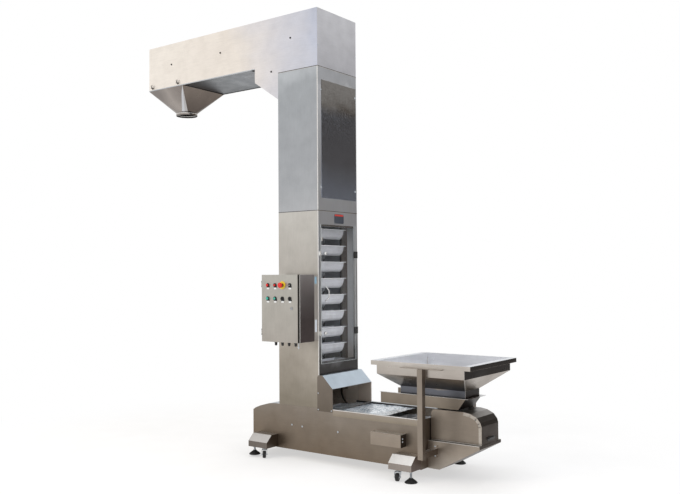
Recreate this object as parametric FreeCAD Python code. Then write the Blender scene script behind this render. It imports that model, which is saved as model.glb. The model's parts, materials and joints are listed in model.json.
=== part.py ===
# Bucket elevator with hopper, shaking tray feeder and see-through inspection door.
# All sizes are millimetres. Places are worked out from the column's centre line on the floor;
# each finished piece is then moved so that the origin is the middle of the whole footprint.
# +Z is up, +X points from the column to the hopper, -Y is the side with the control cabinet.

import FreeCAD, Part
import math
import os

V = FreeCAD.Vector

# Sheet and gaps
sheet = 2.0
part_gap = 0.3
door_gap = 6.0
pin_clearance = 0.05

# Column: two casings, one above the other
column_depth = 393.0
column_width = 502.0
lower_column = 1486.0
upper_column = 1101.0

# Base casing: height, reach each side of the column, and its nose as run from the end and drop from the top
base_height = 336.0
base_left_reach = 275.0
base_right_reach = 885.0
base_nose = [(0.0, 67.0), (25.0, 51.0), (76.0, 31.0), (164.0, 7.0), (222.0, 0.0)]
lid_skirt = 44.0
lid_rim = 26.0
slot_length = 325.0
slot_right_margin = 24.0
guide_drop = 14.0
face_foot = 160.0
tension_reach = (373.0, 122.0)
tension_drop = 104.0
tension_height = 89.0
tension_out = 68.0

# Head casing: rise above the column top, height and the gussets below it
head_length = 1925.0
head_rise = 64.0
head_height = 383.0
gusset_reach = 248.0
gusset_step_drop = 43.0
gusset_foot_drop = 210.0
floor_gap = 60.0
floor_rise = 4.0

# Discharge chute: hangs below the head and ends in a short round ring
chute_length = 433.0
chute_drop = 210.0
chute_ring_d = 190.0
chute_ring_wall = 3.0
chute_ring_height = 21.0
chute_neck_d = 176.0
chute_collar = 2.0

# Hood over the feed end, heights above the base
hood_reach = 129.0
hood_lap = 16.0
hood_rise = 246.0
hood_flat = 34.0
hood_mouth_rise = 152.0
hood_skirt = 20.0

# Upper bolted panel on the hopper side, from the column joint and the column top
panel_side = (-203.0, 241.0)
panel_margin = (98.0, 99.0)
panel_inset = 22.0

# Inspection window and door, from the base top and the column joint
door_side = (-230.0, 213.0)
door_margin = (327.0, 105.0)
door_sheet = 6.0
window_side = (-216.0, 196.0)
window_inset = (18.0, 16.0)
hinge_inset = 24.0
hinge_margin = (229.0, 227.0)
hinge_height = 52.0
hinge_radius = 7.0
hinge_pin_r = 3.0
knob_margin = (231.0, 222.0)
knob_side = -201.0
knob_r = 12.0
knob_stem_r = 4.0
handle_side = -180.5
handle_length = 108.0
handle_out = 34.0
handle_bend = 30.0
handle_r = 4.0

# Control cabinet, hung below the column joint
cabinet_width = 350.0
cabinet_height = 499.0
cabinet_drop = 485.0
cabinet_out = 245.0
cabinet_lid = 18.0
cabinet_mount = 50.0
cabinet_pin_r = 2.5
cabinet_knuckle_r = 5.0
cabinet_knuckle = 12.0
cabinet_hinge_margin = 70.0
button_margin = (60.0, 75.0)
button_drop = (77.5, 176.5)
bezel_r = 14.0
button_r = 10.5
stop_plate_r = 30.0
stop_r = 20.0
stop_reach = 36.0
gland_margin = (93.0, 64.0)
gland_back = 30.0
gland_r = 11.0
gland_length = 32.0

# Bucket chain: clear heights under and over its two level runs in the base and in the head
bucket_pitch = 127.0
bucket_width = 324.0
bucket_depth = 124.0
bucket_height = 76.0
bucket_wall = 2.5
bucket_curve = ((13.0, 0.45), (24.0, 0.79), (42.0, 1.0))
bucket_drop = 8.0
bucket_first_drop = 156.0
base_run_floor = 79.0
base_run_roof = 57.0
head_run_floor = 112.0
head_run_roof = 71.0
run_end_gap = 18.0
strand_offset = 88.0
chain_spread = 356.0
chain_plate = 16.0
chain_thick = 6.0
turn_r = 140.0
rail_lap = 3.0

# Feeder: tray height above the base, then housing and tapered base box below it
tray_rise = 71.0
tray_height = 80.0
tray_reach = (419.0, 274.0)
tray_slant = 59.0
tray_half = 117.0
tray_lip = 12.0
tray_end_lip = 27.0
buffer_height = 8.0
buffer_r = 16.0
buffer_place = (70.0, 190.0, 80.0)
housing_half = 125.0
housing_height = 211.0
housing_gap = (5.0, 2.0)
feeder_half = 161.0
feeder_height = 191.0
feeder_toe = (89.0, 169.0)
feeder_length = 396.0
feeder_sheet = 3.0

# Hopper: heights stack up from the neck, which hangs down into the tray
hopper_offset = 44.1
hopper_half_x = 388.6
hopper_half_y = 348.4
hopper_lip = 30.0
hopper_flange = (47.0, 6.0)
skirt_height = 89.4
pyramid_height = 109.6
neck_height = 57.0
neck_sink = 8.0
neck_left_reach = 256.5
neck_end_gap = 10.7
neck_half = 101.0

# Hopper posts: square tube with a head plate, an arm and an end plate
post = 40.0
post_wall = 2.5
post_offset = 71.5
arm_offset = 59.5
post_foot = 2.0
head_plate_half = 160.0
head_plate_inset = 6.0
head_plate = 4.0
arm_drop = 84.0
end_plate_half = 20.0
end_plate_over = 22.0
end_plate = 5.0

# Casters, each swung round its upright pin by its own angle
wheel_r = 28.0
wheel_width = 24.0
wheel_trail = 18.0
wheel_turn = ((127.0, 0.0), (106.0, -20.0))
wheel_gap = 6.0
axle_r = 4.0
swivel_r = 6.0
swivel_head_r = 15.0
fork_sheet = 3.0
fork_reach = (30.0, 14.0)
fork_over = 5.0

# Foot brackets and levelling feet: the bracket floor is a fixed height above the wheel tops
bracket_gap = 22.0
bracket_sink = 7.0
bracket_rise = (44.0, 95.0)
bracket_out = 130.0
bracket_flat = 75.0
bracket_sheet = 3.0
bracket_length = (190.0, 185.0)
bracket_left_gap = 68.0
foot_out = 92.0
foot_inset = (32.0, 26.0)
caster_inset = (56.0, 57.0)
pad_r = 44.0
pad_edge = 6.0
pad_slope = 26.0
pad_height = 32.0
pad_neck_r = 14.0
stem_r = 8.0
stem_over = 34.0
nut_width = 26.0
nut_height = 10.0
raised = 14.0

# Levels from the floor up
bracket_z = 2 * wheel_r + bracket_gap
base_bottom_z = bracket_z - bracket_sink
base_top_z = base_bottom_z + base_height
column_joint_z = base_top_z + lower_column
column_top_z = column_joint_z + upper_column
head_bottom_z = column_top_z + head_rise
head_top_z = head_bottom_z + head_height
gusset_step_z = column_top_z - gusset_step_drop
gusset_foot_z = column_top_z - gusset_foot_drop
hood_top_z = base_top_z + hood_rise
hood_mouth_z = base_top_z + hood_mouth_rise
tray_low = base_top_z + tray_rise
tray_high = tray_low + tray_height
housing_top_z = tray_low - buffer_height
house_z = housing_top_z - housing_height
feeder_top_z = house_z - feeder_sheet
feeder_bottom_z = house_z - feeder_height
neck_low = tray_high - neck_sink
neck_top = neck_low + neck_height
skirt_low = neck_top + pyramid_height
rim_z = skirt_low + skirt_height

# Places along X and Y from the column's centre line
face_x = column_depth / 2
rear_x = -face_x
side_y = column_width / 2
head_left = face_x - head_length
base_left = rear_x - base_left_reach
base_right = face_x + base_right_reach
hopper_centre = base_right + hopper_offset
foot_y = side_y + foot_out
shift_x = -(head_left + hopper_centre + hopper_half_x) / 2
shift_y = (side_y + cabinet_out + stop_reach - foot_y - pad_r) / 2

os.makedirs("parts", exist_ok=True)


def box(x0, x1, y0, y1, z0, z1):
    return Part.makeBox(x1 - x0, y1 - y0, z1 - z0, V(x0, y0, z0))


def prism(points, direction):
    wire = Part.makePolygon(points + [points[0]])
    return Part.Face(wire).extrude(direction)


def along_y(profile, y0, y1):
    return prism([V(x, y0, z) for x, z in profile], V(0, y1 - y0, 0))


def along_x(profile, x0, x1):
    return prism([V(x0, y, z) for y, z in profile], V(x1 - x0, 0, 0))


def rod(base, axis, radius, length):
    return Part.makeCylinder(radius, length, V(*base), V(*axis))


def tube(base, axis, outer, inner, length):
    return rod(base, axis, outer, length).cut(rod(base, axis, inner, length))


def hexagon(x, y, z0, z1, across):
    corner = across / math.sqrt(3)
    points = [V(x + corner * math.cos(math.pi * k / 3), y + corner * math.sin(math.pi * k / 3), z0)
              for k in range(6)]
    return prism(points, V(0, 0, z1 - z0))


def turned(profile, x, y):
    wire = Part.makePolygon([V(x + r, y, z) for r, z in profile + [profile[0]]])
    return Part.Face(wire).revolve(V(x, y, 0), V(0, 0, 1), 360)


def bent_rod(points, radius):
    start = Part.Wire([Part.makeCircle(radius, points[0], points[1] - points[0])])
    return Part.Wire(Part.makePolygon(points)).makePipeShell([start], True, True, 1)


def bent(path, thickness):
    # A folded sheet seen edge on: the path and the same path moved inward, mitred at folds
    inner = []
    for i, (x, z) in enumerate(path):
        normals = []
        for a, b in ((i - 1, i), (i, i + 1)):
            if a >= 0 and b < len(path):
                dx, dz = path[b][0] - path[a][0], path[b][1] - path[a][1]
                size = math.hypot(dx, dz)
                normals.append((-dz / size, dx / size))
        nx = sum(n[0] for n in normals) / len(normals)
        nz = sum(n[1] for n in normals) / len(normals)
        scale = thickness / (nx * nx + nz * nz)
        inner.append((x + nx * scale, z + nz * scale))
    return path + inner[::-1]


def frustum(lower, upper):
    # Solid between two rectangles given as (x0, x1, y0, y1, z)
    def ring(r):
        x0, x1, y0, y1, z = r
        return [V(x0, y0, z), V(x1, y0, z), V(x1, y1, z), V(x0, y1, z)]
    a, b = ring(lower), ring(upper)
    faces = [Part.Face(Part.makePolygon(a + [a[0]])), Part.Face(Part.makePolygon(b + [b[0]]))]
    for i in range(4):
        j = (i + 1) % 4
        faces.append(Part.Face(Part.makePolygon([a[i], a[j], b[j], b[i], a[i]])))
    return Part.makeSolid(Part.makeShell(faces))


def square_to_round(x0, x1, y, z_top, centre_x, radius, z_low, steps=5):
    # Solid between a rectangle above and a circle below, flat sides and folded corners
    corners = [V(x1, y, z_top), V(x0, y, z_top), V(x0, -y, z_top), V(x1, -y, z_top)]
    ring = []
    for q in range(4):
        for s in range(steps):
            a = math.pi / 2 * (q + s / steps)
            ring.append(V(centre_x + radius * math.cos(a), radius * math.sin(a), z_low))
    count = len(ring)
    faces = [Part.Face(Part.makePolygon(corners + [corners[0]])),
             Part.Face(Part.makePolygon(ring + [ring[0]]))]
    for q in range(4):
        for s in range(steps):
            a, b = ring[q * steps + s], ring[(q * steps + s + 1) % count]
            faces.append(Part.Face(Part.makePolygon([corners[q], a, b, corners[q]])))
        shared = ring[((q + 1) * steps) % count]
        faces.append(Part.Face(Part.makePolygon([corners[q], corners[(q + 1) % 4], shared, corners[q]])))
    return Part.makeSolid(Part.makeShell(faces))


def joined(solids):
    shape = solids[0]
    for other in solids[1:]:
        shape = shape.fuse(other)
    return shape.removeSplitter()


def mirrored(shape):
    return shape.mirror(V(0, 0, 0), V(0, 1, 0))


def save(name, *shapes):
    shape = shapes[0] if len(shapes) == 1 else Part.makeCompound(list(shapes))
    shape = shape.translated(V(shift_x, shift_y, 0))
    shape.exportStep("parts/" + name + ".step")


# Base casing: two side plates, a folded wrap for nose, floor and end, and a lid with the feed slot
nose = [(base_left + run, base_top_z - drop) for run, drop in base_nose]
side_plate = [(base_left, base_bottom_z)] + nose + [(base_right, base_top_z), (base_right, base_bottom_z)]
base_side = along_y(side_plate, -side_y, -side_y + sheet)
save("base_side_panels", base_side, mirrored(base_side))
wrap_path = [(rear_x, base_top_z)] + nose[::-1] + [
    (base_left, base_bottom_z), (base_right, base_bottom_z), (base_right, base_top_z)]
save("base_wrap", along_y(bent(wrap_path, sheet), -side_y + sheet, side_y - sheet))
lid_left = face_x + hood_reach
lid_top = box(lid_left, base_right, -side_y - sheet, side_y + sheet, base_top_z, base_top_z + sheet)
lid_hole = box(lid_left + lid_rim, base_right - slot_right_margin, -side_y + lid_rim, side_y - lid_rim,
               base_top_z - sheet, base_top_z + 2 * sheet)
skirt = box(lid_left, base_right, -side_y - sheet, -side_y, base_top_z - lid_skirt, base_top_z)
save("base_lid", joined([lid_top.cut(lid_hole), skirt, mirrored(skirt)]))

# Guide plate under the hood, hung below the lid by its turned-up edges
guide_z = base_top_z - guide_drop
edge_y = side_y - lid_rim + 2 * sheet
guide_profile = [(-edge_y, base_top_z), (-edge_y, guide_z), (edge_y, guide_z), (edge_y, base_top_z)]
save("guide_plate", along_x(bent(guide_profile, sheet), face_x + part_gap, base_right - slot_length))

# Column: two U-shaped casings one above the other, closed by face plates on the hopper side
def casing(z0, z1):
    outer = box(rear_x, face_x, -side_y, side_y, z0, z1)
    inner = box(rear_x + sheet, face_x + 1, -side_y + sheet, side_y - sheet, z0 - 1, z1 + 1)
    return outer.cut(inner)


def face_plate(z0, z1, hole_side, hole_z):
    plate = box(face_x - sheet, face_x, -side_y + sheet, side_y - sheet, z0, z1)
    return plate.cut(box(face_x - 2 * sheet, face_x + sheet, hole_side[0], hole_side[1],
                         hole_z[0], hole_z[1]))


door_z = (base_top_z + door_margin[0], column_joint_z - door_margin[1])
window_z = (door_z[0] + window_inset[0], door_z[1] - window_inset[1])
panel_z = (column_joint_z + panel_margin[0], column_top_z - panel_margin[1])
save("column_lower_casing", casing(base_top_z, column_joint_z))
save("column_upper_casing", casing(column_joint_z, column_top_z))
save("column_lower_face", face_plate(base_top_z + face_foot, column_joint_z, window_side, window_z))
save("column_upper_face", face_plate(column_joint_z, column_top_z,
                                     (panel_side[0] + panel_inset, panel_side[1] - panel_inset),
                                     (panel_z[0] + panel_inset, panel_z[1] - panel_inset)))
save("column_upper_panel", box(face_x, face_x + sheet, panel_side[0], panel_side[1], panel_z[0], panel_z[1]))

# Head: side plates that drop to the column as gussets, a folded cover, floor and gusset sheet
gusset_x = rear_x - gusset_reach
head_side_profile = [(head_left, head_bottom_z), (gusset_x, head_bottom_z), (gusset_x, gusset_step_z),
                     (rear_x, gusset_foot_z), (rear_x, column_top_z), (face_x, column_top_z),
                     (face_x, head_top_z), (head_left, head_top_z)]
head_side = along_y(head_side_profile, -side_y, -side_y + sheet)
save("head_side_panels", head_side, mirrored(head_side))
cover_path = [(face_x, column_top_z), (face_x, head_top_z), (head_left, head_top_z), (head_left, head_bottom_z)]
save("head_cover", along_y(bent(cover_path, sheet), -side_y + sheet, side_y - sheet))
chute_right = head_left + chute_length
floor_z = head_bottom_z + floor_rise
head_floor = box(chute_right, gusset_x - floor_gap, -side_y + sheet, side_y - sheet, floor_z, floor_z + sheet)
gusset_path = [(gusset_x, head_bottom_z), (gusset_x, gusset_step_z), (rear_x, gusset_foot_z)]
gusset = along_y(bent(gusset_path, sheet), -side_y + sheet, side_y - sheet)
casing_room = box(rear_x, face_x, -side_y, side_y, column_joint_z, column_top_z)
save("head_underside", head_floor, gusset.cut(casing_room))

# Discharge chute: square above, round below, ending in a short ring
chute_x = head_left + chute_length / 2
ring_low = head_bottom_z - chute_drop
ring_top = ring_low + chute_ring_height
neck_r = chute_neck_d / 2
outer = square_to_round(head_left, chute_right, side_y, head_bottom_z, chute_x, neck_r, ring_top)
inner = square_to_round(head_left + sheet, chute_right - sheet, side_y - sheet, head_bottom_z + 0.01,
                        chute_x, neck_r - sheet, ring_top - 0.01)
ring = tube((chute_x, 0, ring_low), (0, 0, 1), chute_ring_d / 2, chute_ring_d / 2 - chute_ring_wall,
            chute_ring_height)
collar = tube((chute_x, 0, ring_top - chute_collar), (0, 0, 1), chute_ring_d / 2 - 1, neck_r - sheet,
              chute_collar)
save("discharge_chute", joined([outer.cut(inner), ring, collar]))

# Hood: two side cheeks and a folded top, open towards the hopper
hood_profile = [(face_x - hood_lap, base_top_z - hood_skirt), (face_x - hood_lap, hood_top_z - 6 * sheet),
                (face_x - sheet, hood_top_z), (face_x + hood_flat, hood_top_z),
                (face_x + hood_reach, hood_mouth_z), (face_x + hood_reach, base_top_z - hood_skirt)]
cheek = along_y(hood_profile, -side_y - sheet, -side_y)
hood_path = [(face_x + hood_reach, hood_mouth_z), (face_x + hood_flat, hood_top_z), (face_x, hood_top_z)]
save("hood", joined([along_y(bent(hood_path, sheet), -side_y, side_y), cheek, mirrored(cheek)]))

# Inspection door: clear sheet, two black hinges, two knobs and a bent pull handle
door_x0 = face_x + door_gap
door_x1 = door_x0 + door_sheet
pin_x = door_x0 + door_sheet / 2
pin_y = side_y - hinge_inset
leaf = 4.0
save("door_window", box(door_x0, door_x1, door_side[0], door_side[1], door_z[0], door_z[1]))
third = hinge_height / 3
fixed_leaves, door_leaves = [], []
for z in (door_z[0] + hinge_margin[0], door_z[1] - hinge_margin[1]):
    low = z - hinge_height / 2
    pieces = [box(face_x, face_x + leaf + 1, pin_y + hinge_radius, side_y - 1, low, low + hinge_height)]
    for start in (0, 2):
        pieces.append(rod((pin_x, pin_y, low + start * third), (0, 0, 1), hinge_radius, third))
        pieces.append(box(face_x + 2, pin_x, pin_y, pin_y + 12, low + start * third,
                          low + (start + 1) * third))
    pieces.append(rod((pin_x, pin_y, low), (0, 0, 1), hinge_pin_r, hinge_height))
    fixed_leaves.append(joined(pieces))
    mid_low, mid_high = low + third + 0.5, low + 2 * third - 0.5
    arm = box(pin_x, door_x1 + leaf, door_side[1] - 4, pin_y, mid_low, mid_high)
    arm = arm.cut(box(pin_x - 1, door_x1, door_side[1] - 9, door_side[1], mid_low - 1, mid_high + 1))
    knuckle = rod((pin_x, pin_y, mid_low), (0, 0, 1), hinge_radius, mid_high - mid_low)
    plate = box(door_x1, door_x1 + leaf, door_side[1] - 26, door_side[1], low, low + hinge_height)
    moving = joined([plate, arm, knuckle])
    door_leaves.append(moving.cut(rod((pin_x, pin_y, low), (0, 0, 1), hinge_pin_r + pin_clearance,
                                      hinge_height)))
save("door_hinge_moving", *door_leaves)
knobs = []
for z in (door_z[0] + knob_margin[0], door_z[1] - knob_margin[1]):
    stem = rod((door_x1, knob_side, z), (1, 0, 0), knob_stem_r, 8)
    grip = Part.makeCone(knob_r - 2, knob_r, 11, V(door_x1 + 8, knob_side, z), V(1, 0, 0))
    knobs.append(joined([stem, grip]))
save("door_knobs", *knobs)
handle_low = (door_z[0] + door_z[1] - handle_length) / 2
handle_high = handle_low + handle_length
handle_x = door_x1 + handle_out
handle_path = [(door_x1, handle_low), (handle_x - handle_bend, handle_low),
               (handle_x, handle_low + handle_bend), (handle_x, handle_high - handle_bend),
               (handle_x - handle_bend, handle_high), (door_x1, handle_high)]
save("door_handle", bent_rod([V(x, handle_side, z) for x, z in handle_path], handle_r))

# Control cabinet: mounting channel, open-fronted shell, hinged lid, buttons and glands
cab_x1 = face_x
cab_x0 = face_x - cabinet_width
cab_front = -side_y - cabinet_out
lid_back = cab_front + cabinet_lid
shell_front = lid_back + door_gap
shell_back = -side_y - cabinet_mount
cab_high = column_joint_z - cabinet_drop
cab_low = cab_high - cabinet_height
shell = box(cab_x0, cab_x1, shell_front, shell_back, cab_low, cab_high)
shell = shell.cut(box(cab_x0 + sheet, cab_x1 - sheet, shell_front - 1, shell_back - sheet,
                      cab_low + sheet, cab_high - sheet))
save("cabinet_shell", shell)
mount = box(cab_x0 + 8, cab_x1 - 4, shell_back, -side_y, cab_low + 8, cab_high - 8)
mount = mount.cut(box(cab_x0 + 12, cab_x1 - 8, shell_back - 1, -side_y + 1, cab_low + 12, cab_high - 12))
save("cabinet_mount", mount)
lid = box(cab_x0, cab_x1, cab_front, lid_back, cab_low, cab_high)
lid = lid.cut(box(cab_x0 + sheet, cab_x1 - sheet, cab_front + sheet, lid_back + 1,
                  cab_low + sheet, cab_high - sheet))
cab_pin_x = cab_x0 - cabinet_knuckle_r - 5
cab_pin_y = lid_back - cabinet_knuckle_r
half = 2 * cabinet_knuckle
fixed_knuckles, lid_knuckles = [], []
for z in (cab_low + cabinet_hinge_margin, cab_high - cabinet_hinge_margin):
    fixed = [rod((cab_pin_x, cab_pin_y, z - half), (0, 0, 1), cabinet_pin_r, 2 * half)]
    for start in (z - half, z + cabinet_knuckle):
        fixed.append(rod((cab_pin_x, cab_pin_y, start), (0, 0, 1), cabinet_knuckle_r, cabinet_knuckle))
        fixed.append(box(cab_pin_x - cabinet_knuckle_r, cab_pin_x - cabinet_knuckle_r + 3, cab_pin_y,
                         shell_front + 10, start, start + cabinet_knuckle))
    fixed.append(box(cab_pin_x - cabinet_knuckle_r, cab_x0, shell_front + 7, shell_front + 10,
                     z - half, z + half))
    fixed_knuckles.append(joined(fixed))
    reach = cabinet_knuckle - 1
    moving = joined([rod((cab_pin_x, cab_pin_y, z - reach), (0, 0, 1), cabinet_knuckle_r, 2 * reach),
                     box(cab_pin_x, cab_x0, cab_pin_y - cabinet_knuckle_r, cab_pin_y - 2,
                         z - reach, z + reach)])
    lid_knuckles.append(moving.cut(rod((cab_pin_x, cab_pin_y, z - half), (0, 0, 1),
                                       cabinet_pin_r + pin_clearance, 2 * half)))
save("hinge_pins", *(fixed_leaves + fixed_knuckles))
save("cabinet_door", joined([lid] + lid_knuckles))
button_step = (cabinet_width - sum(button_margin)) / 3
buttons, stop = [], []
for row, drop in enumerate(button_drop):
    for column in range(4):
        at = (cab_x0 + button_margin[0] + column * button_step, cab_front, cab_high - drop)
        if row == 0 and column == 2:
            plate = rod(at, (0, -1, 0), stop_plate_r, 2)
            stalk = Part.makeCone(stop_r * 0.6, stop_r, 26, V(*at), V(0, -1, 0))
            dome = Part.makeCone(stop_r, stop_r * 0.7, stop_reach - 26, V(at[0], at[1] - 26, at[2]), V(0, -1, 0))
            stop.append(joined([plate, stalk, dome]))
        else:
            buttons.append(joined([rod(at, (0, -1, 0), bezel_r, 5), rod(at, (0, -1, 0), button_r, 14)]))
save("cabinet_buttons", *buttons)
save("emergency_stop", *stop)
gland_step = (cabinet_width - sum(gland_margin)) / 3
glands = []
for k in range(4):
    gland_x, gland_y = cab_x0 + gland_margin[0] + k * gland_step, shell_front + gland_back
    glands.append(joined([hexagon(gland_x, gland_y, cab_low - 8, cab_low, 2 * gland_r),
                          rod((gland_x, gland_y, cab_low), (0, 0, -1), gland_r * 0.77, gland_length)]))
save("cable_glands", *glands)

# Bucket chain: one loop of chain each side, buckets hang level all the way round
low_run = base_bottom_z + base_run_floor
high_run = base_top_z - base_run_roof
head_low_run = head_bottom_z + head_run_floor
head_high_run = head_top_z - head_run_roof
base_end_r = (high_run - low_run) / 2
head_end_r = (head_high_run - head_low_run) / 2
loop_right = base_right - base_end_r - bucket_depth / 2 - run_end_gap
loop_left = head_left + head_end_r + bucket_depth / 2 + run_end_gap
inner_x, outer_x = strand_offset, -strand_offset
top_turn_r = turn_r + chain_plate + 20


def arc_points(cx, cz, r, a0, a1, steps=6):
    return [(cx + r * math.cos(math.radians(a0 + (a1 - a0) * i / steps)),
             cz + r * math.sin(math.radians(a0 + (a1 - a0) * i / steps))) for i in range(steps + 1)]


centre_line = (
    arc_points(inner_x + turn_r, high_run + turn_r, turn_r, 270, 180)
    + arc_points(inner_x - top_turn_r, head_high_run - top_turn_r, top_turn_r, 0, 90)
    + arc_points(loop_left, (head_low_run + head_high_run) / 2, head_end_r, 90, 270)
    + arc_points(outer_x - turn_r, head_low_run - turn_r, turn_r, 90, 0)
    + arc_points(outer_x + turn_r, low_run + turn_r, turn_r, 180, 270)
    + arc_points(loop_right, (low_run + high_run) / 2, base_end_r, 270, 450))


def loop_band(path, half):
    inner_loop, outer_loop = [], []
    count = len(path)
    for i in range(count):
        ax, az = path[i - 1]
        bx, bz = path[(i + 1) % count]
        size = math.hypot(bx - ax, bz - az)
        nx, nz = (bz - az) / size, -(bx - ax) / size
        outer_loop.append((path[i][0] + nx * half, path[i][1] + nz * half))
        inner_loop.append((path[i][0] - nx * half, path[i][1] - nz * half))
    return outer_loop, inner_loop


chains = []
one, two = loop_band(centre_line, chain_plate / 2)
for side in (-1, 1):
    y0 = side * chain_spread / 2 - chain_thick / 2
    a = along_y(one, y0, y0 + chain_thick)
    b = along_y(two, y0 - 1, y0 + chain_thick + 1)
    chains.append(a.cut(b))
save("bucket_chain", *chains)

# One bucket: a tub with curved-in walls under a flat rim whose ends reach the two chains
half_w, half_d = bucket_width / 2, bucket_depth / 2
link_y = chain_spread / 2 - chain_thick / 2


def tub(shrink, top):
    side_profile = [(-half_w + 14 + shrink, top), (-half_w + 24 + shrink, -bucket_height + shrink),
                    (half_w - 24 - shrink, -bucket_height + shrink), (half_w - 14 - shrink, top)]
    wall = [(half_d - 9 - shrink, top)] + [(half_d - out - shrink, -share * bucket_height + shrink)
                                           for out, share in bucket_curve]
    end_profile = wall + [(-x, z) for x, z in wall[::-1]]
    return along_x(side_profile, -half_d, half_d).common(along_y(end_profile, -half_w, half_w))


rim = box(-half_d, half_d, -half_w, half_w, -bucket_wall, 0)
ears = box(-chain_plate / 2, chain_plate / 2, -link_y, link_y, -bucket_wall, 0)
bucket = joined([rim, ears, tub(0, 0)]).cut(tub(bucket_wall, 1))

lengths = [0.0]
closed = centre_line + [centre_line[0]]
for (ax, az), (bx, bz) in zip(closed, closed[1:]):
    lengths.append(lengths[-1] + math.hypot(bx - ax, bz - az))


def point_at(s):
    for i in range(len(lengths) - 1):
        if lengths[i] <= s <= lengths[i + 1]:
            t = (s - lengths[i]) / (lengths[i + 1] - lengths[i])
            (ax, az), (bx, bz) = closed[i], closed[i + 1]
            return ax + (bx - ax) * t, az + (bz - az) * t


climb_start = lengths[6]
climb_z = closed[6][1]
first_top = door_z[1] - bucket_first_drop
first = climb_start + (first_top - bucket_drop - climb_z) % bucket_pitch
buckets = []
for k in range(int(lengths[-1] // bucket_pitch)):
    x, z = point_at((first + k * bucket_pitch) % lengths[-1])
    buckets.append(bucket.translated(V(x, 0, z + bucket_drop)))
save("buckets", *buckets)

# Guide rails from the casing walls to the rising chain
rails = []
for x in (inner_x - chain_plate / 2 - rail_lap, inner_x + chain_plate / 2 - rail_lap):
    rail = box(x, x + 2 * rail_lap, -side_y + sheet, -link_y - chain_thick, high_run + turn_r, column_top_z)
    rails += [rail, mirrored(rail)]
save("chain_rails", *rails)

# Tension cover: a shallow box on the front of the base, open behind
t0, t1 = base_right - tension_reach[0], base_right - tension_reach[1]
cover_top = base_top_z - tension_drop
cover_low = cover_top - tension_height
cover = box(t0, t1, -side_y - tension_out, -side_y, cover_low, cover_top)
save("tension_cover", cover.cut(box(t0 + sheet, t1 - sheet, -side_y - tension_out + sheet, -side_y + 1,
                                    cover_low + sheet, cover_top - sheet)))

# Feeder: tapered base box, vibrator housing, buffers and the tray
fx0 = base_right
fx1 = fx0 + feeder_length
wall = feeder_sheet
toe_x, toe_z = fx0 + feeder_toe[0], feeder_bottom_z + feeder_toe[1]
profile = [(fx0, feeder_bottom_z), (toe_x, feeder_bottom_z), (fx1, toe_z), (fx1, feeder_top_z),
           (fx0, feeder_top_z)]
hollow = [(fx0 + wall, feeder_bottom_z + wall), (toe_x - wall, feeder_bottom_z + wall),
          (fx1 - wall, toe_z + wall), (fx1 - wall, feeder_top_z + 1), (fx0 + wall, feeder_top_z + 1)]
tub_base = along_y(profile, -feeder_half, feeder_half).cut(
    along_y(hollow, -feeder_half + wall, feeder_half - wall))
save("feeder_base", joined([tub_base, box(fx0, fx1, -feeder_half, feeder_half, feeder_top_z, house_z)]))
hx0, hx1 = fx0 + housing_gap[0], fx1 - housing_gap[1]
house = [(hx0, house_z), (hx0, housing_top_z - 28), (hx0 + 10, housing_top_z - 8), (hx0 + 30, housing_top_z),
         (hx1 - 134, housing_top_z), (hx1 - 82, housing_top_z - 8), (hx1 - 34, housing_top_z - 30),
         (hx1 - 8, housing_top_z - 62), (hx1, housing_top_z - 88), (hx1, house_z)]
house_in = bent(house[::-1], sheet)[len(house):]
house_in = [(house_in[0][0], house_z - 1)] + house_in[1:-1] + [(house_in[-1][0], house_z - 1)]
save("feeder_housing", along_y(house, -housing_half, housing_half).cut(
    along_y(house_in, -housing_half + sheet, housing_half - sheet)))
buffers = [rod((x, y, housing_top_z), (0, 0, 1), buffer_r, buffer_height)
           for x in (hx0 + buffer_place[0], hx1 - buffer_place[1]) for y in (-buffer_place[2], buffer_place[2])]
save("tray_buffers", *buffers)
tray_left, tray_right = base_right - tray_reach[0], base_right + tray_reach[1]
body = along_y([(tray_left, tray_low), (tray_right - tray_slant, tray_low), (tray_right, tray_high),
                (tray_left, tray_high)], -tray_half, tray_half)
cavity = along_y([(tray_left - 1, tray_low + sheet), (tray_right - tray_slant - sheet * 0.5, tray_low + sheet),
                  (tray_right - sheet * 1.3, tray_high + 1), (tray_left - 1, tray_high + 1)],
                 -tray_half + sheet, tray_half - sheet)
lip_x = tray_right + tray_end_lip
lips = [box(tray_left, lip_x, -tray_half - tray_lip, -tray_half, tray_high - sheet, tray_high),
        box(tray_left, lip_x, tray_half, tray_half + tray_lip, tray_high - sheet, tray_high),
        box(tray_right - sheet, lip_x, -tray_half, tray_half, tray_high - sheet, tray_high)]
save("feed_tray", joined([body.cut(cavity)] + lips))

# Hopper: turned rim, upright skirt, pyramid and neck
hc = hopper_centre
sx, sy = hopper_half_x - hopper_flange[0], hopper_half_y - hopper_flange[1]
n0, n1 = base_right - neck_left_reach, tray_right - neck_end_gap


def hopper_solid(shrink, spread):
    upper = box(hc - sx + shrink, hc + sx - shrink, -sy + shrink, sy - shrink, skirt_low, rim_z + spread)
    pyramid = frustum((n0 + shrink, n1 - shrink, -neck_half + shrink, neck_half - shrink, neck_top),
                      (hc - sx + shrink, hc + sx - shrink, -sy + shrink, sy - shrink, skirt_low))
    neck = box(n0 + shrink, n1 - shrink, -neck_half + shrink, neck_half - shrink, neck_low - spread, neck_top)
    return joined([upper, pyramid, neck])


rim = box(hc - hopper_half_x, hc + hopper_half_x, -hopper_half_y, hopper_half_y, rim_z - hopper_lip, rim_z)
rim = rim.cut(box(hc - hopper_half_x + sheet, hc + hopper_half_x - sheet, -hopper_half_y + sheet,
                  hopper_half_y - sheet, rim_z - hopper_lip - 1, rim_z - sheet))
save("hopper", joined([rim, hopper_solid(0, 0)]).cut(hopper_solid(sheet, 1)))

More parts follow.
